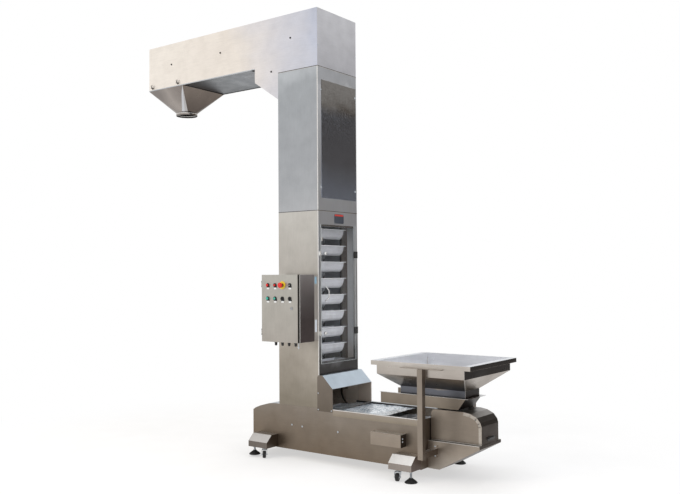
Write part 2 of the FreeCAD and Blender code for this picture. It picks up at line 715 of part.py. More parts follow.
# Hopper posts: square tube, head plate under the rim, arm and end plate to the feeder base
post_x = base_right + post_offset
post_y0 = -sy - post
post_top = rim_z - hopper_lip - head_plate
arm_low = feeder_top_z - arm_drop
arm_high = arm_low + post
foot_z = arm_low - post_foot
p0, p1 = post_x - post / 2, post_x + post / 2
upright = box(p0, p1, post_y0, -sy, foot_z, post_top)
upright = upright.cut(box(p0 + post_wall, p1 - post_wall, post_y0 + post_wall, -sy - post_wall,
                          foot_z - 1, post_top + 1))
top_plate = box(post_x - head_plate_half, post_x + head_plate_half, post_y0 + head_plate_inset, -sy,
                post_top, post_top + head_plate)
arm_x = base_right + arm_offset
a0, a1 = arm_x - post / 2, arm_x + post / 2
arm = box(a0, a1, -sy, -feeder_half - end_plate, arm_low, arm_high)
arm = arm.cut(box(a0 + post_wall, a1 - post_wall, -sy - 1, -feeder_half, arm_low + post_wall,
                  arm_high - post_wall))
foot_plate = box(arm_x - end_plate_half, arm_x + end_plate_half, -feeder_half - end_plate, -feeder_half,
                 arm_low - end_plate_over, arm_high + end_plate_over)
hopper_post = joined([upright, top_plate, arm, foot_plate])
save("hopper_posts", hopper_post, mirrored(hopper_post))

# Foot brackets, levelling feet and casters, the left pair of feet wound up off the floor
brackets, feet = [], []
b0, t = bracket_z, bracket_sheet
b1, b2 = b0 + bracket_rise[0], b0 + bracket_rise[1]
front, flat = -side_y - bracket_out, -side_y - bracket_flat
bridge_z = 2 * wheel_r + fork_over
head_z = bridge_z + fork_sheet
for end, (x0, x1) in enumerate(((base_left + bracket_left_gap, base_left + bracket_left_gap + bracket_length[0]),
                                (base_right - bracket_length[1], base_right))):
    outline = [(-side_y, b0), (front, b0), (front, b1), (flat, b2), (-side_y, b2)]
    pocket = [(-side_y + 1, b0 + t), (front + t, b0 + t), (front + t, b1 - 1), (flat + 1, b2 - t),
              (-side_y + 1, b2 - t)]
    bracket = along_x(outline, x0, x1).cut(along_x(pocket, x0 + t, x1 - t))
    pad_x = (x0 + foot_inset[0]) if end == 0 else (x1 - foot_inset[1])
    wheel_x = (x1 - caster_inset[0]) if end == 0 else (x0 + caster_inset[1])
    bracket = bracket.cut(rod((pad_x, -foot_y, b0 - 1), (0, 0, 1), stem_r + part_gap, t + 2))
    bracket = bracket.cut(rod((wheel_x, -foot_y, b0 - 1), (0, 0, 1), swivel_r + pin_clearance, t + 2))
    lift = raised if end == 0 else 0.0
    pad = turned([(0, lift), (pad_r, lift), (pad_r, lift + pad_edge), (pad_neck_r, lift + pad_slope),
                  (pad_neck_r, lift + pad_height), (0, lift + pad_height)], pad_x, -foot_y)
    stem = rod((pad_x, -foot_y, lift + pad_height), (0, 0, 1), stem_r, b0 + stem_over - pad_height)
    nut = hexagon(pad_x, -foot_y, b0 + t, b0 + t + nut_height, nut_width)
    foot = joined([pad, stem, nut])
    for turn in (False, True):
        brackets.append(mirrored(bracket) if turn else bracket)
        feet.append(mirrored(foot) if turn else foot)
        cy = foot_y if turn else -foot_y
        name = ("left", "right")[end] + ("_back" if turn else "_front")
        ax = wheel_x - wheel_trail
        cheek_in = wheel_width / 2 + wheel_gap
        cheek_out = cheek_in + 2
        bridge = box(wheel_x - fork_reach[0], wheel_x + fork_reach[1], cy - cheek_out, cy + cheek_out,
                     bridge_z, head_z)
        head = rod((wheel_x, cy, head_z), (0, 0, 1), swivel_head_r, b0 - door_gap - head_z)
        pin = rod((wheel_x, cy, bridge_z), (0, 0, 1), swivel_r, b0 + 10 - bridge_z)
        retaining = hexagon(wheel_x, cy, b0 + t + 1, b0 + t + 6, 1.5 * swivel_r * 2)
        cheek_profile = [(wheel_x - fork_reach[0], bridge_z), (ax - 2 * axle_r, wheel_r - axle_r - 2),
                         (ax + 2 * axle_r, wheel_r - axle_r - 2), (wheel_x + fork_reach[1], bridge_z)]
        cheeks = [along_y(cheek_profile, cy - cheek_out, cy - cheek_in),
                  along_y(cheek_profile, cy + cheek_in, cy + cheek_out)]
        axle = rod((ax, cy - cheek_out, wheel_r), (0, 1, 0), axle_r, 2 * cheek_out)
        fork = joined([bridge, head, pin, retaining, axle] + cheeks)
        wheel = tube((ax, cy - wheel_width / 2, wheel_r), (0, 1, 0), wheel_r, axle_r + pin_clearance, wheel_width)
        for shape in (fork, wheel):
            shape.rotate(V(wheel_x, cy, 0), V(0, 0, 1), wheel_turn[end][turn])
        save("caster_fork_" + name, fork)
        save("caster_wheel_" + name, wheel)
save("foot_brackets", *brackets)
save("levelling_feet", *feet)

print("parts written:", len(os.listdir("parts")))
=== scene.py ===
# %% [markdown]
# # Bucket elevator in satin stainless steel
# The machine lifts loose food from a hopper at knee height to a chute above head height. A shaking
# tray feeds plastic buckets on a chain, and the chain runs in a Z through the base, column and head.
# The solids come packed from the CAD model. Here they get their finishes, and the small pieces that
# a camera sees but a machine drawing leaves out: bolts, seams, buttons, chain links, tyres, film.

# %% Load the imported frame
import json
import math

import bmesh
import bpy
from mathutils import Matrix, Vector


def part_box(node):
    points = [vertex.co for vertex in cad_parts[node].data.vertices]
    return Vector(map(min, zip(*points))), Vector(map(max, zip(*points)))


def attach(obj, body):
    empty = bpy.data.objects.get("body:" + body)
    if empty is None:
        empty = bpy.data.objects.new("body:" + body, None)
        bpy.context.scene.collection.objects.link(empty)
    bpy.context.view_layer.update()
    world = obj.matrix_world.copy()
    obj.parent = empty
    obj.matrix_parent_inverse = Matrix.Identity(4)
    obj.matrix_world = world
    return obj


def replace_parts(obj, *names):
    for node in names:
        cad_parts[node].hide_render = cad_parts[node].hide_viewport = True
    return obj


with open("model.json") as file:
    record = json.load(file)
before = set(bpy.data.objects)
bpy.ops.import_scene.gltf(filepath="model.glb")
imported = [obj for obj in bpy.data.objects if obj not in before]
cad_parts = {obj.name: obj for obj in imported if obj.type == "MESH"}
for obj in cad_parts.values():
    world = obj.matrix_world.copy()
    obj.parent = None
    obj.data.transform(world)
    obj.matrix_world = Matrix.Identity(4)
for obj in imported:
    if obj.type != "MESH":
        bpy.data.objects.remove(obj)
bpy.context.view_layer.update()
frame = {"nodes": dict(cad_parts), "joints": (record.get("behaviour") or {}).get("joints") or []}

nodes = frame["nodes"]

# %% [markdown]
# ## The camera
# The photograph was taken standing at the right front, with the eye 1.41 m above the
# floor. The place and turn of the camera were solved from the straight edges of the casing.
# The verticals stay nearly upright, so the lens axis is almost level: a tilt of under two degrees.
# Blender keeps data and objects apart, so a small helper makes an object and puts it in the scene.


# %% Camera
def put(name, data):
    """Makes an object of some data and puts it in the scene."""
    thing = bpy.data.objects.new(name, data)
    bpy.context.scene.collection.objects.link(thing)
    return thing


camera = put("camera", bpy.data.cameras.new("camera"))
bpy.context.scene.camera = camera
camera.data.sensor_width = 36.0
camera.data.lens = 43.33
camera.data.clip_end = 200.0
yaw, pitch, roll = (math.radians(a) for a in (36.826, 1.853, -0.383))
camera.matrix_world = (
    Matrix.Translation((4.12555, -5.0088, 1.4141))
    @ Matrix.Rotation(yaw, 4, "Z")
    @ Matrix.Rotation(math.pi / 2 + pitch, 4, "X")
    @ Matrix.Rotation(roll, 4, "Z")
)
print("camera at", [round(v, 2) for v in camera.matrix_world.translation])

# %% [markdown]
# ## Helpers for materials
# Paint charts and screens give colours in sRGB, and the renderer works in linear light, so one
# function turns a hex value into linear numbers. A second one adds a shader node, sets it and links
# it in one call, which keeps each finish short enough to read from top to bottom. The rest are
# short names for nodes that many finishes use: a noise, a colour mix and the closing surface.


# %% Colour and node helpers
def linear(code):
    parts = [int(code[i:i + 2], 16) / 255 for i in (1, 3, 5)]
    return tuple(p / 12.92 if p <= 0.04045 else ((p + 0.055) / 1.055) ** 2.4 for p in parts) + (1.0,)


def add(tree, kind, feeds=(), stops=(), **settings):
    """Adds a node, sets it and links it.

    Feeds are values, outputs or nodes (then the first output). A dict names the sockets and a tuple
    feeds them in order, so MapRange takes value, from low, from high, to low, to high. Stops are the
    places and colours of a ramp, or colours alone, spread evenly. Settings are the node's own.
    """
    made = tree.nodes.new("ShaderNode" + kind)
    for key, value in settings.items():
        setattr(made, key, value)
    if stops and isinstance(stops[0], str):
        codes = stops if len(stops) > 1 else stops * 2
        stops = [(k / (len(codes) - 1), code) for k, code in enumerate(codes)]
    if stops:
        colours = made.color_ramp.elements
        while len(colours) < len(stops):
            colours.new(1.0)
        for spot, (place, code) in zip(colours, stops):
            spot.position, spot.color = place, linear(code)
    for socket, value in feeds.items() if isinstance(feeds, dict) else enumerate(feeds):
        if isinstance(value, bpy.types.Node):
            value = value.outputs[0]
        if isinstance(value, bpy.types.NodeSocket):
            tree.links.new(value, made.inputs[socket])
        else:
            made.inputs[socket].default_value = value
    return made


def start_material(name):
    material = bpy.data.materials.new(name)
    material.use_nodes = True
    material.node_tree.nodes.clear()
    return material, material.node_tree


def noise(tree, place, scale, detail, roughness=0.5, distortion=0.0):
    return add(tree, "TexNoise", {"Vector": place, "Scale": scale, "Detail": detail, "Roughness": roughness,
        "Distortion": distortion})


def blend(tree, share, one, two, mode="MIX"):
    """Mixes two colours. The sockets with colours in them are the seventh and eighth of the node."""
    return add(tree, "Mix", {0: share, 6: one, 7: two}, data_type="RGBA", blend_type=mode).outputs[2]


def close_material(tree, shader):
    """Ends a material on a shader, or on a principled one with the settings given."""
    if isinstance(shader, dict):
        shader = add(tree, "BsdfPrincipled", shader)
    add(tree, "OutputMaterial", {"Surface": shader})


# %% [markdown]
# ## Brushed stainless sheet, with painted reflection, light and shade
# The casing is 304 stainless sheet, 2 mm thick, finished with a fine abrasive belt. Three things
# make it read as metal: short hair lines along the belt's way, a soft cloudy change of tone where
# the sheet was handled, and a slow waviness that bends reflections between the folds. The hair
# lines are about 0.2 mm apart on the real sheet, too fine for this picture, so they are drawn
# 2 mm apart. Over the steel's own colour lies a painted reflection: the tone runs along the sheet,
# because each panel mirrors other parts of the room. Painted light and shade change it where a
# sheet is folded to face another way, and where it looks into a casing: dark insides are painted
# shade, pale ones painted light.


# %% Brushed stainless sheet
hair_line = 0.002
UP, UNDER, END, FRONT, BACK = (0, 0, 1), (0, 0, -1), (1, 0, 0), (0, -1, 0), (0, 1, 0)
facing_from = 0.84  # a face counts as turned a way when it lies within about 33 degrees of it
looks_in = (-0.004, -0.012)  # metres behind a face at which the middle point makes it an inside
finishes = {}


def stainless_sheet(name, dresses, tint_and_painted_reflection, along="Z", span=(0.0, 1.0), facing_painted_light_and_shade=(), inside=None,
        inside_span=(0.0, 1.0), dull=0.0, rough=0.36, drift=0.30, grain="Z", wave=0.25, stock="sheet"):
    """Makes a finish and notes which nodes it dresses.

    Tones, the steel's own colour with a painted reflection, run along an axis over a span. Faces
    turned a given way have a ramp of their own, painted light on some and painted shade on others,
    and so have the faces that look at the middle point of inside, a painted shade where dark and a
    painted light where pale: theirs runs up inside_span, and dull takes away a share of their metal
    gloss.
    """
    material, tree = start_material(f"brushed_{stock}_{name}")
    finishes.update((node, material) for node in dresses.split())
    spot = add(tree, "TexCoord")
    place, normal = spot.outputs["Object"], spot.outputs["Normal"]
    cloud = noise(tree, place, 1.7, 4.0, 0.55)
    axes = add(tree, "SeparateXYZ", {"Vector": place})
    # painted reflection: the tone runs along the panel over its span
    run = add(tree, "MapRange", (axes.outputs[along], *span))
    shift = add(tree, "MapRange", (cloud, 0.3, 0.7, -drift, drift))
    where = add(tree, "Math", (run, shift), operation="ADD")
    near = add(tree, "Math", (shift, 0.3, run), operation="MULTIPLY_ADD")
    tone = add(tree, "ValToRGB", {"Fac": where}, stops=tint_and_painted_reflection).outputs["Color"]
    turned, metal = [], 1.0
    # painted light and shade: faces turned each given way take a ramp of their own
    for way, *codes in facing_painted_light_and_shade:
        start = codes.pop(0) if isinstance(codes[0], float) else facing_from
        toward = add(tree, "VectorMath", (normal, Vector(way).normalized()), operation="DOT_PRODUCT")
        turned.append((toward.outputs["Value"], start, start / 2 + 0.5, near, codes))
    # painted shade and painted light: faces that look at the middle point of inside take a ramp of their own
    if inside:
        middle, *codes = inside
        deep = add(tree, "MapRange", (axes.outputs["Z"], *inside_span))
        away = add(tree, "VectorMath", (place, middle), operation="SUBTRACT")
        toward = add(tree, "VectorMath", (away, normal), operation="DOT_PRODUCT")
        turned.append((toward.outputs["Value"], *looks_in, deep, codes))
        if dull:
            metal = add(tree, "MapRange", (toward.outputs["Value"], *looks_in, 1.0, 1 - dull))
    for value, start, full, place_on_ramp, codes in turned:
        part = add(tree, "MapRange", (value, start, full))
        own = add(tree, "ValToRGB", {"Fac": place_on_ramp}, stops=codes)
        tone = blend(tree, part, tone, own)
    squeeze = {"X": (0.02, 1.0, 1.0), "Y": (1.0, 0.02, 1.0), "Z": (1.0, 1.0, 0.02)}[grain]
    thread = add(tree, "Mapping", {"Vector": place, "Scale": squeeze})
    hairs = noise(tree, thread, 1 / hair_line, 2.0, 0.6)
    blotch = noise(tree, place, 9.0, 5.0, 0.62)
    dirt = add(tree, "MapRange", (blotch, 0.35, 0.72, 1.0, 0.93))
    fine = add(tree, "MapRange", (hairs, 0.3, 0.7, 0.95, 1.04))
    shade = add(tree, "Math", (dirt, fine), operation="MULTIPLY")
    colour = blend(tree, 1.0, tone, shade, "MULTIPLY")
    worn = add(tree, "MapRange", (blotch, 0.3, 0.75, rough - 0.05, rough + 0.09))
    sheet_wave = noise(tree, place, 2.6, 1.0)
    slow = add(tree, "Bump", {"Height": sheet_wave, "Strength": wave, "Distance": 0.02})
    bump = add(tree, "Bump", {"Height": hairs, "Strength": 0.12, "Distance": 0.0004, "Normal": slow})
    close_material(tree, {"Base Color": colour, "Metallic": metal, "Roughness": worn, "Normal": bump})
    return material


# %% Sheet tones, panel by panel, with painted reflection, light and shade
head_low, head_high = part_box("head_side_panels")
upper_low, upper_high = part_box("column_upper_casing")
lower_low, lower_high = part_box("column_lower_casing")
base_low, base_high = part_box("base_side_panels")

middle_y = (base_low.y + base_high.y) / 2

# Each panel's ramp is the steel's own colour with a painted reflection of the room. Faces turned up and the
# bracket slopes are mostly painted paler; faces turned to the end, downwards, and the feeder's chamfers are
# mostly painted darker, as painted shade, and one narrow facet of the chute is a painted highlight. The
# insides of head and chute are a dark painted shade, those of column, base, hood and hopper a pale painted
# light. The head's dark underside and the dark grey guide plate are painted shade.
stainless_sheet("head_side", "head_side_panels", [(0.0, "#f5ede3"), (0.55, "#f0e7dd"), (0.78, "#e2dedf"),
    (1.0, "#c9ccd8")], along="X", span=(head_low.x, head_high.x), inside=((-0.65, middle_y, 3.20), "#3a3836"),
    dull=0.8, rough=0.42, drift=0.10, grain="X")
stainless_sheet("head_cover", "head_cover", ["#b4b4b9", "#c8c8cc"], span=(2.9, 3.5), rough=0.38,
                facing_painted_light_and_shade=[(UP, "#d9dce0")], inside=((-0.65, middle_y, 3.20), "#3a3836"), dull=0.8, grain="Y")
stainless_sheet("upper_column", "column_upper_casing", [(0.0, "#b6b7b9"), (0.35, "#abadb0"), (0.9, "#aaadb0"),
    (1.0, "#c0c3c6")], span=(upper_low.z, upper_high.z), facing_painted_light_and_shade=[(END, "#b2b2b4")], rough=0.40, drift=0.12)
stainless_sheet("lower_column", "column_lower_casing", [(0.0, "#8a8275"), (0.22, "#aea69b"), (0.6, "#b4aea6"),
    (1.0, "#c8c4bd")], span=(lower_low.z, lower_high.z), facing_painted_light_and_shade=[(END, "#6d6c6d", "#a9a9aa", "#b9babc")],
    inside=((-0.20, middle_y, 1.14), "#ded1c3", "#d3c6b8", "#d2d6db", "#d2d6db", "#d6dade", "#d2d6db",
    "#a2a5a9"), inside_span=(0.40, 1.893), dull=0.85, rough=0.40, drift=0.10)
stainless_sheet("base", "base_side_panels base_wrap", [(0.0, "#766859"), (0.6, "#7f7468"), (1.0, "#8c8379")],
    span=(base_low.z, base_high.z), facing_painted_light_and_shade=[(UP, "#b4b8bc"), (END, "#6d635a")],
    inside=((0.40, middle_y, 0.24), "#e9ddd0"), dull=0.9, rough=0.40, drift=0.25, grain="X")
stainless_sheet("lid", "base_lid", [(0.0, "#857b70"), (0.86, "#8b8278"), (0.88, "#928879"), (1.0, "#9d9388")],
                span=(base_low.z, base_high.z), facing_painted_light_and_shade=[(UP, "#b4bac0")], drift=0.02, grain="X")
stainless_sheet("tension_cover", "tension_cover", ["#95897c", "#9b9084"], span=(0.21, 0.31),
                facing_painted_light_and_shade=[(UP, "#f2eee8"), (END, "#57504a")], drift=0.2, grain="X")
stainless_sheet("face_plate", "column_upper_face column_lower_face", [(0.0, "#4a4747"), (0.13, "#4b4a4a"),
    (0.18, "#96979a"), (0.42, "#b9bbc0"), (0.56, "#c2c8d0"), (0.925, "#bdbfc3"), (0.94, "#acaeb2"),
    (1.0, "#a2a4a8")], span=(lower_low.z, upper_high.z), rough=0.34, drift=0.05)
stainless_sheet("underside", "head_underside", [(0.0, "#3a3f45"), (0.4, "#51565b"), (0.7, "#62666c"),
    (1.0, "#404246")], along="X", span=(-1.19, -0.33), rough=0.30, drift=0.45, grain="X")
# painted highlight on one narrow facet, painted shade under the outlet ring and on the inside
stainless_sheet("chute", "discharge_chute", ["#8b8480", "#a39b95", "#8b837e"], along="X", span=(-1.62, -1.18),
    facing_painted_light_and_shade=[(END, "#6f655d"), ((1, 0, -0.675), 0.80, "#5c544e", "#776d65", "#615852", "#7a7068"),
    ((0.38, -0.92, -1.185), 0.957, "#cbccd0"), (UNDER, 0.97, "#1c1a19")],
    inside=((-1.405, middle_y, 2.83), "#2c2826"), dull=0.9, rough=0.30, drift=0.40, wave=0.5)
stainless_sheet("hood", "hood", ["#6c6359", "#7c736a"], span=(0.38, 0.66),
    facing_painted_light_and_shade=[((0.6, 0, 0.8), "#b5c1cc", "#bdc9d4"), (UP, "#c3ced8"), (END, "#8d8278")],
    inside=((0.36, middle_y, 0.50), "#cfc0b2"), dull=0.95, drift=0.2)
# painted reflection and shade in the dark bands of the front slope and the dark end, painted light inside
stainless_sheet("hopper", "hopper", [(0.0, "#5b5b5e"), (0.26, "#66686f"), (0.30, "#8f8880"),
    (0.66, "#b4aca4"), (0.87, "#bbb4ac"), (1.0, "#cfc9c2")], span=(0.53, 0.81),
    facing_painted_light_and_shade=[(END, "#1e1916", "#1e1916", "#160c07", "#160c07"), ((0, -0.413, -0.911), "#2c2927", "#2c2927",
    "#4a443f", "#948a7f", "#d3c4b4", "#878d99", "#7a808c"), ((0.667, 0, -0.745), "#958b80", "#8d8276"),
    (UP, "#d6d9df")], inside=((1.2328, middle_y, 0.72), "#f2f3f6"), rough=0.30, drift=0.16, grain="X",
    wave=0.4)
stainless_sheet("feeder", "feeder_base feeder_housing", [(0.0, "#b1a89d"), (0.3, "#a1968a"), (0.6, "#94897d"),
    (1.0, "#93887c")], span=(0.07, 0.47), facing_painted_light_and_shade=[((0.78, 0, 0.63), 0.80, "#37322e"),
    ((0.96, 0, 0.29), 0.93, "#37322e"), (UP, "#8e8a86"), (END, 0.97, "#372e28"),
    ((0.28, 0, -0.96), "#4a4038")], rough=0.38, drift=0.15, grain="X")
stainless_sheet("tray", "feed_tray", ["#7b7165", "#8b8175"], span=(0.47, 0.57),
    facing_painted_light_and_shade=[(UP, "#d9dadc"), ((1, 0, -0.8), 0.80, "#2e2722"), (END, "#4f453d")], rough=0.34, drift=0.2,
    grain="X")
stainless_sheet("post", "hopper_posts", ["#958a7e", "#8e847a"], span=(0.15, 0.8),
                facing_painted_light_and_shade=[(UP, "#e9e4de"), (END, "#655b52")], stock="tube")
stainless_sheet("bracket", "foot_brackets", ["#6e6761", "#9b928b"], along="X", span=(-0.3, 1.19),
    facing_painted_light_and_shade=[((0, -1, 1), "#c2beba", "#faf7f3"), (UP, "#c2beba", "#faf7f3"), (END, "#645c54", "#695d56")],
    drift=0.1)
stainless_sheet("cabinet", "cabinet_shell", ["#b0aaa2", "#b8b5ac"], span=(0.9, 1.41),
                facing_painted_light_and_shade=[(UP, "#e4e2dd"), (END, "#5d5555", "#585151", "#747071", "#a4a1a3")], drift=0.12)
stainless_sheet("cabinet_lid", "cabinet_door", ["#b1aba3", "#bab7af"], span=(0.9, 1.41),
                facing_painted_light_and_shade=[(UP, "#efede9"), (END, "#3a3735")], rough=0.40, drift=0.2)
stainless_sheet("inside", "guide_plate", ["#5b5755", "#716e6c"], span=(0.4, 3.4), rough=0.42)
stainless_sheet("mount", "cabinet_mount", ["#bcb8b4", "#cac7c3"], span=(0.9, 1.41), rough=0.38)
print("sheet finishes made")

# %% [markdown]
# ## Mirror sheet
# The cover plate on the upper column still has its mill-bright face, so it shows a clear, dark
# picture of the room instead of the pale haze of the brushed sheets. A metal's colour tints every
# reflection, and here the colour carries a painted reflection too: the plate gets a bluish grey that
# turns brown near its top, and a low roughness, with slow ripples that wobble the reflected edges
# as thin sheet does.

# %% Mirror sheet with a painted reflection
finishes["column_upper_panel"], tree = start_material("bright_annealed_sheet")
place = add(tree, "TexCoord").outputs["Object"]
ripple = noise(tree, place, 3.2, 2.0)
speck = noise(tree, place, 55.0, 4.0)
wiped = add(tree, "MapRange", (speck, 0.35, 0.75, 0.10, 0.24))
level = add(tree, "SeparateXYZ", {"Vector": place})
# painted reflection: the colour turns from bluish grey to brown up the plate
height = add(tree, "MapRange", (level.outputs["Z"], 1.99, 2.90))
painted_reflection_swirl = add(tree, "Math", (ripple, 0.15, height), operation="MULTIPLY_ADD")
painted_reflection_tint = add(tree, "ValToRGB", {"Fac": painted_reflection_swirl}, stops=[(0.075, "#94a1b5"), (0.375, "#787d87"), (0.78, "#6a6e76"),
    (0.87, "#716e6b")])
bump = add(tree, "Bump", {"Height": ripple, "Strength": 0.35, "Distance": 0.012})
close_material(tree, {"Base Color": painted_reflection_tint, "Metallic": 1.0, "Roughness": wiped, "Normal": bump})

# %% [markdown]
# ## Small hardware finishes
# Bolts, knobs and the pull handle are zinc plated or polished stainless: bright, with a slight blue.
# Chain and its rails carry oil, so they are darker and streaky. Plastics and rubber aren't metal:
# their colour comes from inside, and only a thin gloss lies on top, broken by moulding grain. The
# buckets are made darker towards the top of the window, where less light reaches them.


# %% Hardware, plastic and rubber
def bright_metal(name, code, rough, fleck_mm):
    material, tree = start_material(name)
    place = add(tree, "TexCoord").outputs["Object"]
    fleck = noise(tree, place, 1000 / fleck_mm, 4.0)
    tone = add(tree, "MapRange", (fleck, 0.3, 0.7, 0.82, 1.08))
    colour = blend(tree, 1.0, linear(code), tone, "MULTIPLY")
    gloss = add(tree, "MapRange", (fleck, 0.0, 1.0, rough - 0.06, rough + 0.10))
    bump = add(tree, "Bump", {"Height": fleck, "Strength": 0.1, "Distance": 0.0003})
    close_material(tree, {"Base Color": colour, "Metallic": 1.0, "Roughness": gloss, "Normal": bump})
    return material


def moulded_plastic(name, code, rough, grain_mm, gloss=0.5, depth=0.0002, shade=None):
    """Shade, where given, is two heights and the share of the colour that is left at each."""
    material, tree = start_material(name)
    place = add(tree, "TexCoord").outputs["Object"]
    grain = noise(tree, place, 1000 / grain_mm, 3.0)
    flow = noise(tree, place, 14.0, 3.0)
    tone = add(tree, "MapRange", (flow, 0.3, 0.7, 0.90, 1.06))
    if shade:
        level = add(tree, "SeparateXYZ", {"Vector": place})
        part = add(tree, "MapRange", (level.outputs["Z"], *shade))
        tone = add(tree, "Math", (tone, part), operation="MULTIPLY")
    colour = blend(tree, 1.0, linear(code), tone, "MULTIPLY")
    worn = add(tree, "MapRange", (flow, 0.0, 1.0, rough - 0.08, rough + 0.10))
    bump = add(tree, "Bump", {"Height": grain, "Strength": 0.25, "Distance": depth})
    close_material(tree, {"Base Color": colour, "Roughness": worn, "Specular IOR Level": gloss,
                          "Normal": bump})
    return material


zinc_plate = bright_metal("zinc_plated_steel", "#c4c8cc", 0.28, 3.0)
chrome_bright = bright_metal("polished_stainless_rod", "#f0f0ee", 0.16, 6.0)
dark_bolt = bright_metal("oxide_black_steel", "#3c3936", 0.40, 2.0)
oiled_steel = bright_metal("oiled_chain_steel", "#6e655c", 0.42, 4.0)
rail_brown = bright_metal("worn_guide_rail_steel", "#8a8078", 0.46, 8.0)
weld_steel = bright_metal("brushed_weld_bead", "#c9c6c1", 0.30, 2.5)
# painted highlight and painted shade: a near-white finish for the bright lines on folds and rims, a dark
# bluish one for the shaded far edge of the hopper rim
edge_painted_highlight = bright_metal("fold_line_painted_highlight", "#eceae6", 0.34, 6.0)
edge_painted_shade = bright_metal("fold_line_painted_shade", "#343b46", 0.34, 6.0)
bucket_plastic = moulded_plastic("moulded_polypropylene_grey", "#d3d5da", 0.42, 1.2,
    shade=(1.16, 1.75, 1.0, 0.60))
black_plastic = moulded_plastic("moulded_nylon_black", "#1b1b1c", 0.42, 0.9)
black_rubber = moulded_plastic("moulded_rubber_black", "#232323", 0.62, 1.4, gloss=0.35)
seal_rubber = moulded_plastic("foamed_seal_grey", "#9b9a97", 0.70, 1.0, gloss=0.3)
push_red = moulded_plastic("moulded_abs_red", "#d2231c", 0.26, 2.0, depth=0.0001)
push_green = moulded_plastic("moulded_abs_sea_green", "#3fae9b", 0.26, 2.0, depth=0.0001)
disc_yellow = moulded_plastic("moulded_abs_yellow", "#e8cb35", 0.34, 2.0, depth=0.0001)
sticker_blue = moulded_plastic("blank_vinyl_label_blue", "#8fb3c6", 0.35, 3.0, depth=0.0001)
sticker_pale = moulded_plastic("blank_vinyl_label_pale", "#d9e0e8", 0.35, 3.0, depth=0.0001)
plate_dark = moulded_plastic("anodised_plate_dark", "#363c46", 0.38, 1.5, depth=0.0001)
plate_band = moulded_plastic("anodised_plate_red_band", "#c5352b", 0.38, 1.5, depth=0.0001)

# %% [markdown]
# ## Clear door sheet
# The door is 6 mm polycarbonate. A glass shader would bend the light and leave the buckets behind
# it in the dark, because lamps can't be traced through it quickly. A thin sheet hardly bends light,
# so an almost transparent surface with a sharp gloss gives the same picture: the buckets show, and
# a faint haze with wipe marks lies over them.

# %% Clear door sheet
clear_sheet, tree = start_material("polycarbonate_sheet_clear")
place = add(tree, "TexCoord").outputs["Object"]
wipe = add(tree, "Mapping", {"Vector": place, "Scale": (1.0, 3.0, 0.5)})
haze = noise(tree, wipe, 7.0, 5.0)
film = add(tree, "MapRange", (haze, 0.35, 0.75, 0.012, 0.045))
gloss = add(tree, "MapRange", (haze, 0.0, 1.0, 0.03, 0.14))
close_material(tree, {"Base Color": linear("#c9d0d4"), "Roughness": gloss, "Alpha": film, "IOR": 1.58})

# %% [markdown]
# ## Dressing the CAD solids
# Each solid keeps its own shape and gets the finish of the real piece. Folded sheet never has a
# razor edge, so a weld-and-bevel pair of modifiers rounds the folds by a millimetre, enough to
# catch a thin line of light.

# %% Finishes for the CAD solids
plain = [
    (bucket_plastic, ["buckets"]),
    (oiled_steel, ["bucket_chain"]),
    (rail_brown, ["chain_rails"]),
    (clear_sheet, ["door_window"]),
    (push_red, ["emergency_stop"]),
    (black_plastic, ["door_hinge_moving", "hinge_pins", "cable_glands", "cabinet_buttons"]),
    (black_rubber, ["tray_buffers", "levelling_feet"] + [n for n in nodes if n.startswith("caster_wheel")]),
    (chrome_bright, ["door_knobs", "door_handle"]),
    (zinc_plate, [n for n in nodes if n.startswith("caster_fork")]),
]
for material, names in plain:
    finishes.update((name, material) for name in names)
folded = {"head_side_panels", "head_cover", "column_upper_casing", "column_lower_casing", "discharge_chute",
    "base_side_panels", "base_wrap", "base_lid", "tension_cover", "hood", "hopper", "feeder_base",
    "feeder_housing", "feed_tray", "hopper_posts", "foot_brackets", "cabinet_door", "cabinet_shell",
    "buckets"}
for name, material in finishes.items():
    for held in nodes[name].material_slots:
        held.material = material
    if name in folded:
        weld = nodes[name].modifiers.new("weld_points", "WELD")
        weld.merge_threshold = 0.00005
        fold = nodes[name].modifiers.new("fold_radius", "BEVEL")
        fold.width, fold.segments = 0.0009, 2
        fold.limit_method, fold.angle_limit = "ANGLE", math.radians(35)
print("solids dressed:", len(finishes), "of", len(nodes))

# %% [markdown]
# ## Helpers for shapes
# Turned pieces such as bolts, buttons, pads and tyres are one outline swept round an axis. Plates,
# labels and links are one outline given a thickness. Small functions make both from points, so that
# every piece has real edges, and the last one hangs the finished piece on its body.


# %% Turning, plates and hanging on a body
def mm(*points):
    """Outline points written in millimetres, as metres."""
    return [(a / 1000, b / 1000) for a, b in points]


def turn(mesh, base, axis, outline, steps=20):
    """Sweeps (radius, height) points round an axis that stands on base."""
    axis = Vector(axis).normalized()
    u = (axis.orthogonal() if abs(axis.z) > 0.9 else axis.cross(Vector(UP))).normalized()
    v = axis.cross(u)
    rings = []
    for radius, height in outline:
        centre = Vector(base) + axis * height
        if radius == 0:
            rings.append([mesh.verts.new(centre)])
            continue
        rings.append([mesh.verts.new(centre + (u * math.cos(a) + v * math.sin(a)) * radius)
                      for a in (math.tau * k / steps for k in range(steps))])
    for one, two in zip(rings, rings[1:]):
        for k in range(steps):
            n = (k + 1) % steps
            if len(one) == 1:
                mesh.faces.new((one[0], two[k], two[n]))
            elif len(two) == 1:
                mesh.faces.new((one[k], two[0], one[n]))
            else:
                mesh.faces.new((one[k], two[k], two[n], one[n]))


